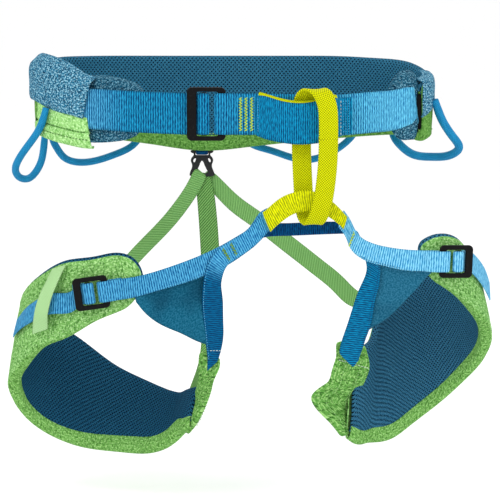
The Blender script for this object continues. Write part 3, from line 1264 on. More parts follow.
LEG_MESH_R = spacer_mesh("leg_mesh_petrol_light", srgb(8, 70, 104), srgb(0, 8, 22), srgb(70, 132, 164), 4.0, 2.2)
HEATHER = melange("melange_blue", srgb(34, 110, 144), srgb(168, 222, 240), srgb(0, 44, 74), 1.6, 1.2)
HEATHER_DARK = melange("melange_blue_inner", srgb(22, 82, 108), srgb(120, 176, 198), srgb(0, 34, 58), 1.6, 1.2)
WEB = ribbed("webbing_blue", srgb(40, 166, 214), srgb(0, 58, 108), 2.5, lift=(0.075, 0.17, srgb(122, 224, 255), srgb(0, 110, 172)))
WEB_LEFT = ribbed("webbing_blue_left", srgb(28, 158, 206), srgb(0, 56, 104), 2.5, lift=(-0.10, -0.15, srgb(92, 184, 226), srgb(0, 84, 138)))
WEB_FRONT = ribbed("webbing_tie_in", srgb(14, 156, 206), srgb(0, 62, 108), 2.2)
SKY = ribbed("webbing_sky", srgb(92, 186, 230), srgb(0, 88, 146), 2.4)
SKY_R = ribbed("webbing_sky_light", srgb(148, 226, 255), srgb(28, 136, 194), 2.4)
SKY_DEEP = ribbed("webbing_inner", srgb(0, 108, 158), srgb(0, 56, 100), 2.3, fade=(58, 84, srgb(96, 190, 232), srgb(0, 96, 160)))
SKY_DEEP_R = ribbed("webbing_inner_light", srgb(6, 140, 190), srgb(0, 62, 108), 2.3, fade=(20, 50, srgb(100, 192, 234), srgb(0, 104, 162)))
NAVY = ribbed("webbing_navy", srgb(0, 92, 154), srgb(0, 34, 78), 1.9)
YELLOW = square_weave("belay_yellow", srgb(236, 242, 0), srgb(88, 96, 0), 2.6)
YELLOW_SHEATH = ribbed("sheath_yellow", srgb(246, 250, 10), srgb(150, 160, 0), 2.2)
LINING = square_weave("lining_yellow", srgb(228, 236, 0), srgb(150, 160, 0), 1.8, 0.0003)
STRETCH = knit("stretch_petrol", srgb(2, 80, 106), srgb(52, 130, 162), srgb(0, 34, 58))
STRETCH_R = knit("stretch_petrol_light", srgb(14, 84, 112), srgb(66, 138, 168), srgb(0, 40, 66))
ELASTIC = twill("elastic_green", srgb(156, 212, 130), srgb(76, 134, 58), 2.6)
ELASTIC_M = twill("elastic_green_middle", srgb(144, 202, 114), srgb(40, 88, 30), 3.2)
TAPE = twill("keeper_green", srgb(200, 240, 180), srgb(122, 172, 100), 2.4, 0.0004)
CORD = braid("cord_blue", srgb(34, 154, 206), srgb(0, 74, 124))
BLACK = hard("buckle_black", srgb(7, 7, 8), srgb(104, 102, 100), 0.42, 0.0, 0.35, spec=0.12)
BAR = hard("bar_black", srgb(12, 12, 13), srgb(104, 102, 100), 0.4, 0.1, 0.35, spec=0.12)
GREY = hard("clip_plastic", srgb(40, 40, 42), srgb(98, 96, 98), 0.5, 0.0, 0.45, spec=0.2)
FOAM = foam_paint("foam", srgb(22, 26, 30), srgb(8, 10, 12))
TH_WHITE = thread_paint("thread_white", srgb(240, 246, 240), srgb(196, 210, 204))
TH_LIME = thread_paint("thread_lime", srgb(206, 232, 96), srgb(150, 186, 46))
TH_OLIVE = thread_paint("thread_olive", srgb(128, 172, 60), srgb(90, 132, 40))
TH_BLUE = thread_paint("thread_blue", srgb(6, 72, 124), srgb(0, 50, 92))
TH_SKY = thread_paint("thread_sky", srgb(120, 208, 246), srgb(70, 160, 206))
TH_GREEN = thread_paint("thread_green", srgb(176, 222, 150), srgb(120, 172, 94))
TH_DARK = thread_paint("thread_dark_green", srgb(66, 112, 46), srgb(40, 80, 30))
TH_PETROL = thread_paint("thread_petrol", srgb(26, 84, 112), srgb(12, 54, 78))

# ---------------------------------------------------------------- padded bands
def end_scale(s, first, last, low=0.35):
    def f(u):
        k = 1.0
        for radius, d in ((first, u), (last, s.length - u)):
            if radius and d < radius:
                k = min(k, low + (1 - low) * math.sqrt(max(1 - (1 - d / radius) ** 2, 0)))
        return k

    return f


def dense(s, first, last, step):
    pts = list(np.linspace(0, s.length, max(int(s.length / step), 20)))
    for radius, at, sign in ((first, 0.0, 1), (last, s.length, -1)):
        if radius:
            pts += [at + sign * radius * (1 - math.cos(q)) for q in np.linspace(0, math.pi / 2, 12)]
    return np.unique(np.round(pts, 3))


def padded(names, table, away, depth, ends, low_band, mats, puff=0.8, seed=0.0, step=2.4, taper=None, core=(4.0, 4.0)):
    """Outer shell, mesh lining and lower binding of one padded band. Returns its strip and its end scale."""
    shell_node, mesh_node, bind_node = names
    s = Strip(table, away=away, ends=ends)
    taper = taper or ends
    f = end_scale(s, *taper)
    us = dense(s, taper[0], taper[1], step)

    def belly(p, uu, o):
        q = np.clip(o[:, 0] / 40.0, 0, 1)
        return ripple(p, 34.0, 0.7, seed) * q + ripple(p, 11.0, 0.22, seed + 3)

    def shell(u, w):
        k = f(u)
        b = puff * k
        return [(2.0, -3.4 * k), (0.5, -1.5 * k), (1.0, -0.25), (3.5, 0.35), (w * 0.28, b), (w * 0.5, b * 1.15), (w * 0.72, b),
                (w - 3.5, 0.35), (w - 0.8, -0.25), (w - 0.2, -1.6 * k), (w - 1.6, -3.4 * k)]

    def lining(u, w):
        k = f(u)
        low = low_band(u / s.length)
        d = depth * k
        b = puff * 0.7 * k
        return [(1.8, -1.2 * k), (-0.3, -1.7 * k), (-1.3, -4.5 * k), (-1.0, -8.0 * k), (0.6, -d + 0.6), (3.0, -d), (w * 0.3, -d - b), (w * 0.6, -d - b),
                (w - low + 1, -d), (w - low * 0.6, -d + 0.6)]

    def binding(u, w):
        k = f(u)
        low = low_band(u / s.length)
        d = depth * k
        return [(w - 2.4, -0.5), (w + 0.3, -1.6 * k), (w + 1.3, -4.0 * k), (w + 1.2, -8.0 * k), (w - 0.2, -d - 0.2), (w - 3.0, -d - 1.0),
                (w - low * 0.55, -d - 1.3), (w - low, -d - 1.0)]

    a = sweep(shell_node + "_visual", s, sheet_outline(shell, 1.4, 40), mats[0], us, belly)
    b = sweep(mesh_node + "_visual", s, sheet_outline(lining, 1.6, 40), mats[1], us, belly)
    c = sweep(bind_node + "_visual", s, sheet_outline(binding, 1.3, 26), mats[2], us, belly)
    def foam(u, w):
        k = f(u)
        d = depth * k
        m = 4.0
        q = np.linspace(0, 2 * math.pi, 28, endpoint=False)
        v = w / 2 + np.sign(np.cos(q)) * np.abs(np.cos(q)) ** 0.35 * max(w / 2 - m, 2.0)
        h = -d * 0.5 - 0.3 + np.sign(np.sin(q)) * np.abs(np.sin(q)) ** 0.4 * max(d * 0.5 - 2.0 * k, 0.4)
        return np.stack([v, h, v], -1)

    foam_node = shell_node.replace("outer_shell", "foam_core")
    e = sweep(foam_node + "_visual", s, foam, FOAM, us[(us > core[0]) & (us < s.length - core[1])])
    settle(e, foam_node)
    settle(a, shell_node)
    settle(b, mesh_node)
    settle(c, bind_node)
    return s, f


belt, belt_f = padded(("belt_outer_shell", "belt_mesh_lining", "belt_lower_binding"), BELT, (0, 0, 0), 11.6, (8, 10), lambda f: 15.0,
                      (GREEN_BELT, MESH, GREEN_BELT), 1.0, 0.3, taper=(8, 0), core=(5.0, 1.5))
left, left_f = padded(("left_leg_outer_shell", "left_leg_mesh_lining", "left_leg_lower_binding"), L_PAD_V, (-100, -30, -230), 10.6,
                        (16, 0), lambda f: float(np.interp(f, [0, 0.25, 0.45, 0.8, 1], [7, 7.5, 11, 13.5, 10])), (GREEN, LEG_MESH, GREEN_EDGE), 1.0, 1.3, 2.0, taper=(16, 26), core=(5.0, 34.0))
right, right_f = padded(("right_leg_outer_shell", "right_leg_mesh_lining", "right_leg_lower_binding"), R_PAD_V, (170, -20, -220), 10.6,
                        (9, 0), lambda f: float(np.interp(f, [0, 0.25, 0.45, 0.8, 1], [7, 9, 13, 14, 12])), (GREEN, LEG_MESH_R, GREEN_EDGE), 1.0, 2.3, 2.0, taper=(9, 26), core=(5.0, 34.0))

# seams on the shells
th = Thread()
for s, f, v0, v1, d in ((belt, belt_f, 7.0, 7.0, 1.05),):
    th.seam(s, 14, s.length - 18, lambda u: 6.0, lambda u: 1.15)
    th.seam(s, 14, s.length - 18, lambda u, s=s: float(s.width(u)) - 6.5, lambda u: 1.15)
    th.seam(s, 20, s.length - 24, lambda u, s=s: float(s.width(u)) - 17.0, lambda u: -13.2)
settle_later = [("belt_seams", th, TH_GREEN, "waist_belt")]
for key, s in (("left_leg", left), ("right_leg", right)):
    th = Thread()
    th.seam(s, 16, s.length - 10, lambda u: 5.0, lambda u: 1.05)
    th.seam(s, 16, s.length - 10, lambda u, s=s: float(s.width(u)) - 5.5, lambda u: 1.05)
    
    settle_later.append((key + "_seams", th, TH_GREEN, key + "_loop"))

# ------------------------------------------------------- left and right belt ends
cover = Strip(COVER_LV, away=(0, 0, 0))


def cover_profile(u, w):
    b = 4.0 + 5.0 * min(u / 30.0, 1.0)
    return [(w - 0.4, -2.2), (w + 0.2, -0.6), (w - 1.2, 0.2), (w * 0.7, 0.9), (w * 0.4, 1.0), (2.0, 0.3), (0.0, -0.6), (-1.5, -1.8),
            (-b * 0.6, -6.0), (-b, -10.5), (-b - 0.4, -12.5)]


o = sweep("left_belt_end_cover_visual", cover, sheet_outline(cover_profile, 1.7, 36), HEATHER, None,
          lambda p, uu, q: ripple(p, 24.0, 0.5, 4.0), start=lambda share: 9.5 * share ** 0.9)
settle(o, "left_belt_end_cover")
flap = Strip(FLAP_LV, away=(0, 0, 0), ends=(0, 10))
o = sweep("left_inner_flap_visual", flap, sheet_outline(lambda u, w: [(w - 1.0, -3.5), (w + 0.3, -1.2), (w - 1.5, 0.2), (w * 0.5, 0.8), (1.5, 0.2), (-0.5, -1.0),
          (-3.5 * (1 - u / 90.0), -4.5), (-6.0 * (1 - u / 90.0), -8.5)], 1.7, 30), HEATHER_DARK, None, lambda p, uu, q: ripple(p, 22.0, 0.4, 5.0))
settle(o, "left_inner_flap")
tab = Strip(TAB_LV, away=(0, 0, 0))
o = sweep("left_belt_end_tab_visual", tab, sheet_outline(lambda u, w: [(-1.0, -1.6), (1.0, -0.9), (w * 0.35, 0.2), (w - 15.4, 0.1), (w - 14.2, -0.7), (w - 13.2, 1.9), (w - 11.0, 3.0),
          (w - 5.0, 2.6), (w - 0.8, 1.4), (w + 0.2, -0.6), (w - 1.0, -3.0)], 1.5, 40), GREEN_TAB, None, lambda p, uu, q: ripple(p, 15.0, 0.6, 6.0), start=lambda share: 7.0 * (1 - share))
settle(o, "left_belt_end_tab")
cover_r = Strip(COVER_RV, away=(0, 0, 0))
o = sweep("right_belt_end_cover_visual", cover_r, sheet_outline(lambda u, w: [(w - 0.4, -1.6), (w + 0.2, -0.6), (w - 1.2, 0.1), (w * 0.6, 0.5), (2.0, 0.2), (0.2, -0.5), (-0.8, -2.0), (-1.6, -5.0), (-2.0, -9.5), (-2.0, -12.6)], 1.4, 34), HEATHER,
          None, lambda p, uu, q: ripple(p, 20.0, 0.5, 4.5))
settle(o, "right_belt_end_cover")
flap_r = Strip(FLAP_R, away=(0, 0, 0), ends=(0, 8))
o = sweep("right_inner_flap_visual", flap_r, sheet_outline(lambda u, w: [(w - 1.0, -3.5), (w + 0.3, -1.2), (w - 1.5, 0.2), (w * 0.5, 0.9), (1.5, 0.2), (-0.5, -1.0), (-2.5, -4.0), (-4.0, -7.0)], 1.7, 30),
          HEATHER_DARK, None, lambda p, uu, q: ripple(p, 20.0, 0.4, 7.0))
settle(o, "right_inner_flap")
th = Thread()
th.seam(tab, 4, tab.length - 2, lambda u: float(tab.width(u)) - 8.0, 3.9, 2.6, 1.1, 0.42)
th.seam(tab, 8, tab.length - 2, lambda u: float(tab.width(u)) - 15.2, 1.5, 2.2, 1.2, 0.34)
settle_later.append(("left_tab_stitches", th, TH_DARK, "waist_belt"))

# --------------------------------------------------------------- waist webbing
adj = Strip(upright(WAIST_ADJ, 41.0), facing=None, away=None)
if adj.n[len(adj.n) // 4][1] > 0:
    adj.n = -adj.n
o = sweep("waist_adjuster_webbing_visual", adj, webbing_outline(1.8, 0.0, 17), WEB_LEFT, np.linspace(0, adj.length, 230),
          lambda p, uu, q: ripple(p, 26.0, 0.25, 1.0))
settle(o, "waist_adjuster_webbing")
def inset(p, d):
    n = unit(np.array([p[0] / 204.0 ** 2, p[1] / 93.0 ** 2]))
    return (p[0] - n[0] * d, p[1] - n[1] * d, p[2])


anc = Strip(upright(WAIST_ANC[:-3] + [inset(WAIST_ANC[-3], 0.7), inset(WAIST_ANC[-2], 1.6), inset(WAIST_ANC[-1], 1.9)], 41.0))
if anc.n[4][1] > 0:
    anc.n = -anc.n
o = sweep("waist_anchor_webbing_visual", anc, webbing_outline(1.8, 0.0, 17), WEB, np.linspace(0, anc.length, 240),
          lambda p, uu, q: ripple(p, 26.0, 0.25, 2.0), stop=lambda q: 4.0 + 9.0 * (1 - q))
settle(o, "waist_anchor_webbing")
tie = Strip(TIE, facing=(0, -1, 0))
o = sweep("tie_in_front_webbing_visual", tie, webbing_outline(1.8, 0.3, 17), WEB_FRONT, np.linspace(0, tie.length, 100), lambda p, uu, q: ripple(p, 26.0, 0.3, 3.0))
settle(o, "tie_in_front_webbing")
lin = Strip(TIELIN_V, facing=(0, -1, 0), ends=(2, 4))
o = sweep("tie_in_lining_visual", lin, webbing_outline(1.4, 0.0, 15), LINING, np.linspace(0, lin.length, 80))
settle(o, "tie_in_lining")

# bar tacks on the folded end of the anchor webbing, three in a row
th = Thread()
for x in (3.6, 9.2, 14.6):
    th.tack(anc, x, 4.0, 37.0, 1.35, 3.0, 1.35, 0.5)
settle_later.append(("waist_bar_tacks", th, TH_LIME, "waist_bar_tacks"))
th = Thread()
th.cross(tie, tie.length - 13.5, 3.0, 38.0, 1.15, 2.6, 0.9, 0.36)
settle_later.append(("tie_in_white_seam", th, TH_WHITE, "waist_belt"))
th = Thread()
for du in (9.5, 6.5, 3.5):
    th.cross(tie, tie.length - du, 3.0, 38.0, 1.1, 1.4, 1.1, 0.3)
th.cross(tie, 2.5, 3.0, 38.0, 1.15, 1.6, 1.0, 0.3)
for x in (21.0,):
    th.cross(anc, 1.2, 3.0, 38.0, 1.1, 1.6, 1.0, 0.3)
settle_later.append(("waist_blue_seams", th, TH_SKY, "waist_belt"))

# ------------------------------------------------------------------ belay loop
def ring_strip(points, width, away):
    p = np.array(points + [points[0]], float)
    at = chord(p)
    m = 4
    ext = np.vstack([p[-1 - m:-1], p, p[1:m + 1]])
    ea = np.concatenate([at[-1 - m:-1] - at[-1], at, at[1:m + 1] + at[-1]])
    t = np.linspace(0, at[-1], 420)
    c = spline(ext, ea, t)
    d = unit(np.gradient(c, axis=0))
    d[0] = d[-1] = unit(d[1] + d[-2])
    x = np.array([1.0, 0, 0])
    n = unit(np.cross(d, x))
    across = unit(np.cross(n, d))
    s = Strip.__new__(Strip)
    s.a, s.b = c - across * width / 2, c + across * width / 2
    s.u = chord(c)
    s.across, s.w, s.along, s.length = across, np.full(len(c), width), d, s.u[-1]
    if n[0] @ (c[0] - np.array(away, float)) < 0:
        n = -n
    s.n = n
    return s


belay = ring_strip(BELAY, 19.0, (80, -111, -40))
o = sweep("belay_loop_visual", belay, webbing_outline(3.2, 0.25, 17), YELLOW, np.linspace(0, belay.length, 300)[:-1],
          lambda p, uu, q: ripple(p, 30.0, 0.35, 1.5), closed=True)
settle(o, "belay_loop")

# ------------------------------------------------------------ lower tie-in sheath
sheath = Strip(SHEATH, facing=(0, -1, 0))


def sheath_outline(u, w):
    q = np.linspace(0, 2 * math.pi, 40, endpoint=False)
    d = min(u, sheath.length - u)
    flare = 1.0 + 0.10 * math.exp(-d / 2.5)
    v = w / 2 + np.sign(np.cos(q)) * np.abs(np.cos(q)) ** 0.75 * (w / 2) * flare
    h = np.sign(np.sin(q)) * np.abs(np.sin(q)) ** 0.8 * 3.1 * flare
    return np.stack([v, h, v], -1)


o = sweep("lower_tie_in_sheath_visual", sheath, sheath_outline, YELLOW_SHEATH, None, lambda p, uu, q: ripple(p, 16.0, 0.5, 2.5))
settle(o, "lower_tie_in_sheath")
bridge = Strip(BRIDGE_V, facing=(0, -1, 0))
o = sweep("bridge_strap_visual", bridge, webbing_outline(1.6, 0.0, 11), NAVY, None, lambda p, uu, q: ripple(p, 18.0, 0.3, 2.7))
settle(o, "bridge_strap")

# ------------------------------------------------------------------ leg webbing
def leg_web(name, node, table, material, facing, into=None, back=None, thick=1.6, seed=0.0, count=None, stop=None):
    rows = list(table)
    if into:
        rows = [into] + rows
    if back:
        rows = rows + [back]
    s = Strip(rows)
    if s.n[2] @ np.array(facing, float) < 0:
        s.n = -s.n
    us = np.linspace(0, s.length, count or max(int(s.length / 1.0), 30))
    o = sweep(name, s, webbing_outline(thick, 0.0, 13), material, us, lambda p, uu, q: ripple(p, 22.0, 0.25, seed), stop=stop)
    settle(o, node)
    return s


def toward(row, target, share=1.0):
    """A station moved so that its middle is at target."""
    a, b = np.array(row[0], float), np.array(row[1], float)
    m = (a + b) / 2
    t = m + (np.array(target, float) - m) * share
    return (tuple(a - m + t), tuple(b - m + t))


sh_a = (np.array(SHEATH[0][0]) + np.array(SHEATH[0][1])) / 2
sh_b = (np.array(SHEATH[-1][0]) + np.array(SHEATH[-1][1])) / 2
lw = leg_web("left_leg_outer_webbing_visual", "left_leg_outer_webbing", L_ANC, SKY, (0, -1, 0), toward(L_ANC[0], sh_a + np.array([4.0, -0.5, 4.0])), None, 1.6, 3.1, 260)
la = leg_web("left_leg_adjuster_webbing_visual", "left_leg_adjuster_webbing", L_ADJ, SKY, (-1, -0.3, 0), None, None, 1.6, 3.2, 240)
li = leg_web("left_leg_inner_webbing_visual", "left_leg_inner_webbing", L_INN_V, SKY_DEEP, (0, -1, 0), None, None, 1.6, 3.3, 170, lambda q: 11.0 * q)
rw = leg_web("right_leg_outer_webbing_visual", "right_leg_outer_webbing", R_ANC, SKY_R, (0, -1, 0), toward(R_ANC[0], sh_b + np.array([-4.0, -0.5, 4.0])), None, 1.6, 3.4, 220)
ra = leg_web("right_leg_adjuster_webbing_visual", "right_leg_adjuster_webbing", R_ADJ, SKY_R, (1, -0.3, 0), None, None, 1.6, 3.5, 200)
ri = leg_web("right_leg_inner_webbing_visual", "right_leg_inner_webbing", R_INN_V, SKY_DEEP_R, (0, -1, 0), None, None, 1.6, 3.6, 160, lambda q: 14.0 * abs(q - 0.62) / 0.62)

th = Thread()
th.tack(li, 41.0, 2.5, 15.5, 1.25, 2.8, 1.2, 0.5)
th.tack(li, 50.0, 2.5, 15.5, 1.25, 2.8, 1.2, 0.5)
settle_later.append(("left_leg_bar_tacks", th, TH_OLIVE, "left_leg_bar_tacks"))
th = Thread()
th.tack(rw, 24.0, 3.0, 18.0, 1.25, 2.6, 1.3, 0.45)
settle_later.append(("right_leg_bar_tacks", th, TH_LIME, "right_leg_bar_tacks"))
th = Thread()
th.seam(li, 62, li.length - 12, 1.6, 1.0, 1.6, 1.2, 0.3)
th.seam(lw, 72, 140, lambda u: float(lw.width(u)) - 1.8, 1.05, 1.6, 1.2, 0.28)
settle_later.append(("left_leg_blue_seams", th, TH_SKY, "left_leg_loop"))
th = Thread()
for k in range(5):
    v0 = 3.6 + 3.0 * k
    vv = np.linspace(v0, v0 + 2.2, 4)
    th.run(li.at(li.length - 22.5 - (vv - 3.6) * 0.36 * -1.0 - 5.4 * (vv - 3.6) / 12.0, vv, np.array([0.85, 1.15, 1.15, 0.85])), 0.34)
settle_later.append(("left_leg_white_seam", th, TH_WHITE, "left_leg_loop"))
th = Thread()
th.seam(ri, 36, ri.length - 16, lambda u: float(ri.width(u)) - 1.8, 1.0, 1.6, 1.2, 0.3)
th.seam(rw, 40, 82, lambda u: float(rw.width(u)) - 1.8, 1.05, 1.6, 1.2, 0.28)
settle_later.append(("right_leg_blue_seams", th, TH_BLUE, "right_leg_loop"))

# ------------------------------------------------------------- stretch triangles
for key, table, mat in (("left", L_TRI_V, STRETCH), ("right", R_TRI_V, STRETCH_R)):
    s = Strip(table, facing=(0, -1, 0))
    o = sweep(key + "_stretch_triangle_visual", s, webbing_outline(1.2, 0.8, 25), mat, np.linspace(0, s.length, 60),
              lambda p, uu, q: ripple(p, 26.0, 0.9, 6.0))
    settle(o, key + "_stretch_triangle")

# ------------------------------------------------------------------ inner sleeves
for key, table, away, mat, mark in (("left", L_SLV_V, (-100, -30, -230), GREEN_SLEEVE, 1), ("right", R_SLV_V, (170, -20, -220), GREEN_SLEEVE, -1)):
    s = Strip(table, away=away, ends=(4, 3))

    def sleeve_outline(u, w, s=s):
        q = np.linspace(0, 2 * math.pi, 48, endpoint=False)
        grow = 1.3 + 3.6 * min(max(u - 12, 0) / s.length * 1.4, 1.0)
        v = w / 2 + np.cos(q) * (w / 2 + 1.2)
        h = np.sign(np.sin(q)) * np.abs(np.sin(q)) ** 0.7 * grow - (grow - 1.3) * 0.8
        return np.stack([v, h, v], -1)

    o = sweep(key + "_leg_inner_sleeve_visual", s, sleeve_outline, mat, np.linspace(0, s.length, 50), lambda p, uu, q: ripple(p, 18.0, 0.7, 8.0))
    settle(o, key + "_leg_inner_sleeve")
    th = Thread()
    at_u = 23.0 if key == "left" else 24.0
    th.cross(s, at_u, 1.5, float(s.width(at_u)) - 1.5, 2.6 if key == "left" else 2.9, 2.4, 1.0, 0.36)
    settle_later.append((key + "_sleeve_cross_seam", th, TH_WHITE, key + "_leg_loop"))
    th = Thread()
    for share in ((0.52, 0.82) if key == "left" else (0.26, 0.7)):
        th.seam(s, at_u + 4, s.length - 8, lambda u, k=share: float(s.width(u)) * k, lambda u, k=share: 2.4 + 1.5 * min(u / s.length, 1.0) * (1 - abs(2 * k - 1)) - 0.4, 2.4, 1.1, 0.34)
    settle_later.append((key + "_sleeve_seams", th, TH_GREEN, key + "_leg_loop"))

# ------------------------------------------------------------------------ keeper
keep = Strip(L_KEEP, facing=(0, -1, 0))
o = sweep("left_leg_keeper_visual", keep, webbing_outline(1.0, 0.4, 13), TAPE, np.linspace(0, keep.length, 60), lambda p, uu, q: ripple(p, 18.0, 0.3, 9.0))
settle(o, "left_leg_keeper")

# ------------------------------------------------------------------------ risers
for key, table in (("left_riser", RIS_L_V), ("middle_riser", RIS_M_V), ("right_riser", RIS_R_V)):
    s = Strip(table, facing=(0, 1, 0))
    o = sweep(key + "_visual", s, webbing_outline(1.3, 0.0, 11), ELASTIC_M if key == "middle_riser" else ELASTIC, np.linspace(0, s.length, 120), lambda p, uu, q: ripple(p, 24.0, 0.4, 10.0))
    settle(o, key)

# ------------------------------------------------------------------- gear loops
for key, path, r in (("left_front", GL_LF, 3.8), ("left_rear", GL_LR, 3.8), ("right_rear", GL_RR, 3.8), ("right_front", GL_RF, 4.4)):
    o = tube(key + "_gear_loop_visual", path, lambda f, r=r: r * (0.86 + 0.14 * min(f, 1 - f) / 0.08 if min(f, 1 - f) < 0.08 else 1.0), CORD, 16, 1.2)
    settle(o, key + "_gear_loop")

# ------------------------------------------------------------ buckles and clip
def plate(name, outer, holes, thick, edge, material, matrix):
    """A moulded plate from flat outlines (x, z in mm) with rounded edges; its thickness runs along local y."""
    curve = bpy.data.curves.new(name, "CURVE")
    curve.dimensions = "2D"
    curve.fill_mode = "BOTH"
    curve.extrude = (thick / 2 - edge) * MM
    curve.bevel_depth = edge * MM
    curve.bevel_resolution = 3
    curve.offset = -edge * MM
    for loop in [outer] + holes:
        sp = curve.splines.new("POLY")
        sp.points.add(len(loop) - 1)
        for i, (x, z) in enumerate(loop):
            sp.points[i].co = (x * MM, z * MM, 0, 1)
        sp.use_cyclic_u = True
    temp = bpy.data.objects.new(name + "_curve", curve)
    bpy.context.scene.collection.objects.link(temp)
    bpy.context.view_layer.update()
    mesh = bpy.data.meshes.new_from_object(temp.evaluated_get(bpy.context.evaluated_depsgraph_get()))
    bpy.data.objects.remove(temp)
    turn = Matrix(((1, 0, 0, 0), (0, 0, -1, 0), (0, 1, 0, 0), (0, 0, 0, 1)))
    mesh.transform(turn)
    mesh.transform(matrix)
    obj = bpy.data.objects.new(name, mesh)
    bpy.context.scene.collection.objects.link(obj)
    mesh.materials.clear()
    mesh.materials.append(material)
    import bmesh

    bm = bmesh.new()
    bm.from_mesh(mesh)
    bmesh.ops.remove_doubles(bm, verts=bm.verts, dist=1e-6)
    bmesh.ops.recalc_face_normals(bm, faces=bm.faces)
    bm.to_mesh(mesh)
    bm.free()
    for p in mesh.polygons:
        p.use_smooth = p.area < 3e-6
    if not mesh.uv_layers:
        mesh.uv_layers.new(name="UVMap")
    return obj


def rounded_box(w, h, r, cx=0.0, cz=0.0, n=7):
    pts = []
    for sx, sz, a0 in ((1, 1, 0), (-1, 1, 90), (-1, -1, 180), (1, -1, 270)):
        for k in range(n + 1):
            q = math.radians(a0 + 90 * k / n)
            pts.append((cx + sx * (w / 2 - r) + math.cos(q) * r, cz + sz * (h / 2 - r) + math.sin(q) * r))
    return pts


def placing(point, slope, yaw):
    m = Matrix.Rotation(math.radians(yaw), 4, "Z") @ Matrix.Rotation(math.radians(-slope), 4, "Y")
    m.translation = Vector(point) * MM
    return m


def middle(node):
    lo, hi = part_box(node)
    return (Vector(lo) + Vector(hi)) / 2 / MM


for key, node, w, h, slot_h, shift, slope, yaw, r in (
    ("waist", "waist_buckle_frame", 38.5, 53.0, 44.0, WAIST_SLOT, 0, 0, 5.0),
    ("left_leg", "left_leg_buckle_frame", 35.0, 33.0, 23.6, 0.75, 8, 0, 4.5),
    ("right_leg", "right_leg_buckle_frame", 35.0, 33.0, 23.6, -0.75, -2, 16, 4.5),
):
    m = placing(middle(node), slope, yaw)
    o = plate(node + "_visual", rounded_box(w, h, r), [rounded_box(21.5, slot_h, 2.2, shift)], 3.6, 0.9, BLACK, m)
    settle(o, node)
for node, h, slope, yaw in (("waist_buckle_slide_bar", 43.0, 0, 0), ("left_leg_buckle_slide_bar", 22.6, 8, 0), ("right_leg_buckle_slide_bar", 22.6, -2, 16)):
    o = plate(node + "_visual", rounded_box(6.6, h, 1.6), [], 2.2, 0.7, BAR, placing(middle(node), slope, yaw))
    settle(o, node)

def smooth_loop(points, rounds=2):
    for _ in range(rounds):
        out = []
        for i, (x, z) in enumerate(points):
            x1, z1 = points[(i + 1) % len(points)]
            out.append((x * 0.75 + x1 * 0.25, z * 0.75 + z1 * 0.25))
            out.append((x * 0.25 + x1 * 0.75, z * 0.25 + z1 * 0.75))
        points = out
    return points


half = [(12.6, 14.5), (12.2, 11.4), (8.6, 10.4), (9.2, 8.0), (11.6, 5.6), (12.3, 2.4), (10.6, -1.4), (10.8, -5.0), (13.4, -10.6), (13.6, -14.8)]
outline = half + [(-x, z) for x, z in reversed(half)]
window = [(-7.6, -11.2), (7.6, -11.2), (3.6, -4.6), (1.0, 2.4), (-1.0, 2.4), (-3.6, -4.6)]
ears = [[(6.4, 5.6), (8.8, 4.6), (9.6, 1.8), (8.4, 0.4), (7.0, 2.6)], [(-6.4, 5.6), (-8.8, 4.6), (-9.6, 1.8), (-8.4, 0.4), (-7.0, 2.6)]]
o = plate("rear_clip_visual", smooth_loop(outline, 2), [rounded_box(14.0, 2.6, 1.0, 0.0, 14.5 - 4.6), smooth_loop(window, 1)] + [smooth_loop(e, 1) for e in ears], 4.4, 0.9, GREY,
          placing(CLIP, 0, 0))
settle(o, "rear_clip")

# hanger loop through the clip's slot
hx, hy, hz = CLIP[0], CLIP[1], CLIP[2] + 14.5 - 2.0
arc = [(hx, hy + 3.4 * math.cos(math.radians(180 + 180 * k / 8)), hz + 3.0 * math.sin(math.radians(180 + 180 * k / 8))) for k in range(9)]
path = [(hx, hy - 1.1, hz + 30), (hx, hy - 1.6, hz + 18), (hx, hy - 3.0, hz + 6)] + arc + [(hx, hy + 3.0, hz + 6), (hx, hy + 1.6, hz + 18), (hx, hy + 1.5, hz + 30)]
s = Strip([((x - 6.5, y, z), (x + 6.5, y, z)) for x, y, z in path])
o = sweep("clip_hanger_loop_visual", s, webbing_outline(1.2, 0.0, 9), NAVY, np.linspace(0, s.length, 70))
settle(o, "clip_hanger_loop")

# --------------------------------------------------------------------- stitches
for name, thread, material, where in settle_later:
    obj = thread.done(name + "_threads", material)
    if where in body_of_node:
        settle(obj, where)
    else:
        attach(obj, where)

# ------------------------------------------------------------------------ stage
def stage_object(obj):
    obj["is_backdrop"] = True
    return obj


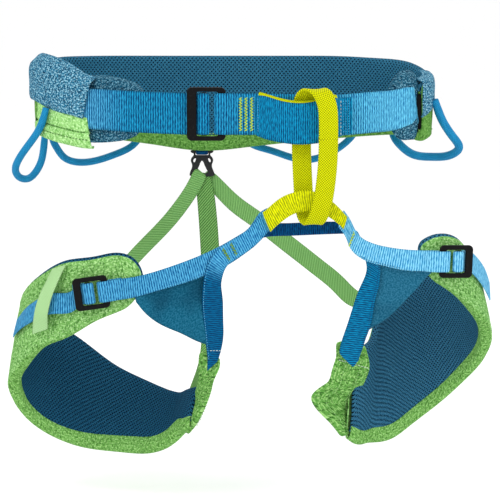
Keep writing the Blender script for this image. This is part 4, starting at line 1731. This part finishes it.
floor_mesh = bpy.data.meshes.new("floor")
floor_mesh.from_pydata([(-30, -12, 0), (30, -12, 0), (30, 60, 0), (-30, 60, 0)], [], [(0, 1, 2, 3)])
floor = bpy.data.objects.new("floor", floor_mesh)
bpy.context.scene.collection.objects.link(floor)
floor.location.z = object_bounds()[0][2] - 0.05
fp = Paint("floor_paint", 0.9)
fp.colour(srgb(253, 253, 253))
fp.bump(fp.noise(fp.place(), 30.0, 2.0), 0.02, 0.0005)
floor_mesh.materials.append(fp.mat)
stage_object(floor)

world = bpy.data.worlds.new("studio")
bpy.context.scene.world = world
world.use_nodes = True
world.node_tree.nodes["Background"].inputs[0].default_value = (1.0, 1.0, 1.0, 1)
world.node_tree.nodes["Background"].inputs[1].default_value = 1.02


def area(name, place, aim, size, power, colour=(1, 1, 1)):
    light = bpy.data.lights.new(name, "AREA")
    light.shape = "DISK"
    light.size = size
    light.energy = power
    light.color = colour
    obj = bpy.data.objects.new(name, light)
    bpy.context.scene.collection.objects.link(obj)
    obj.location = place
    obj.rotation_euler = (Vector(aim) - Vector(place)).to_track_quat("-Z", "Y").to_euler()
    stage_object(obj)


area("key", (-0.9, -1.5, 1.5), (0, 0, -0.15), 0.9, 12)
area("fill", (1.4, -1.3, 0.6), (0, 0, -0.15), 1.2, 5)
area("back", (0.2, 1.6, 1.3), (0, 0, -0.1), 1.0, 8)

E_ = math.radians(7.0)
aim = Vector((17.0, -90.0, -137.0)) * MM
fwd = Vector((0, math.cos(E_), -math.sin(E_)))
up = Vector((0, math.sin(E_), math.cos(E_)))
cam_data = bpy.data.cameras.new("camera")
cam_data.sensor_width = 36.0
cam_data.lens = 36.0 * 2200.0 / 500.0
cam_data.clip_end = 100.0
cam = bpy.data.objects.new("camera", cam_data)
bpy.context.scene.collection.objects.link(cam)
at = aim - fwd * 2.2
cam.matrix_world = Matrix(((1, up.x, -fwd.x, at.x), (0, up.y, -fwd.y, at.y), (0, up.z, -fwd.z, at.z), (0, 0, 0, 1)))
bpy.context.scene.camera = cam
bpy.context.scene.view_settings.view_transform = "Standard"
bpy.context.scene.view_settings.look = "None"
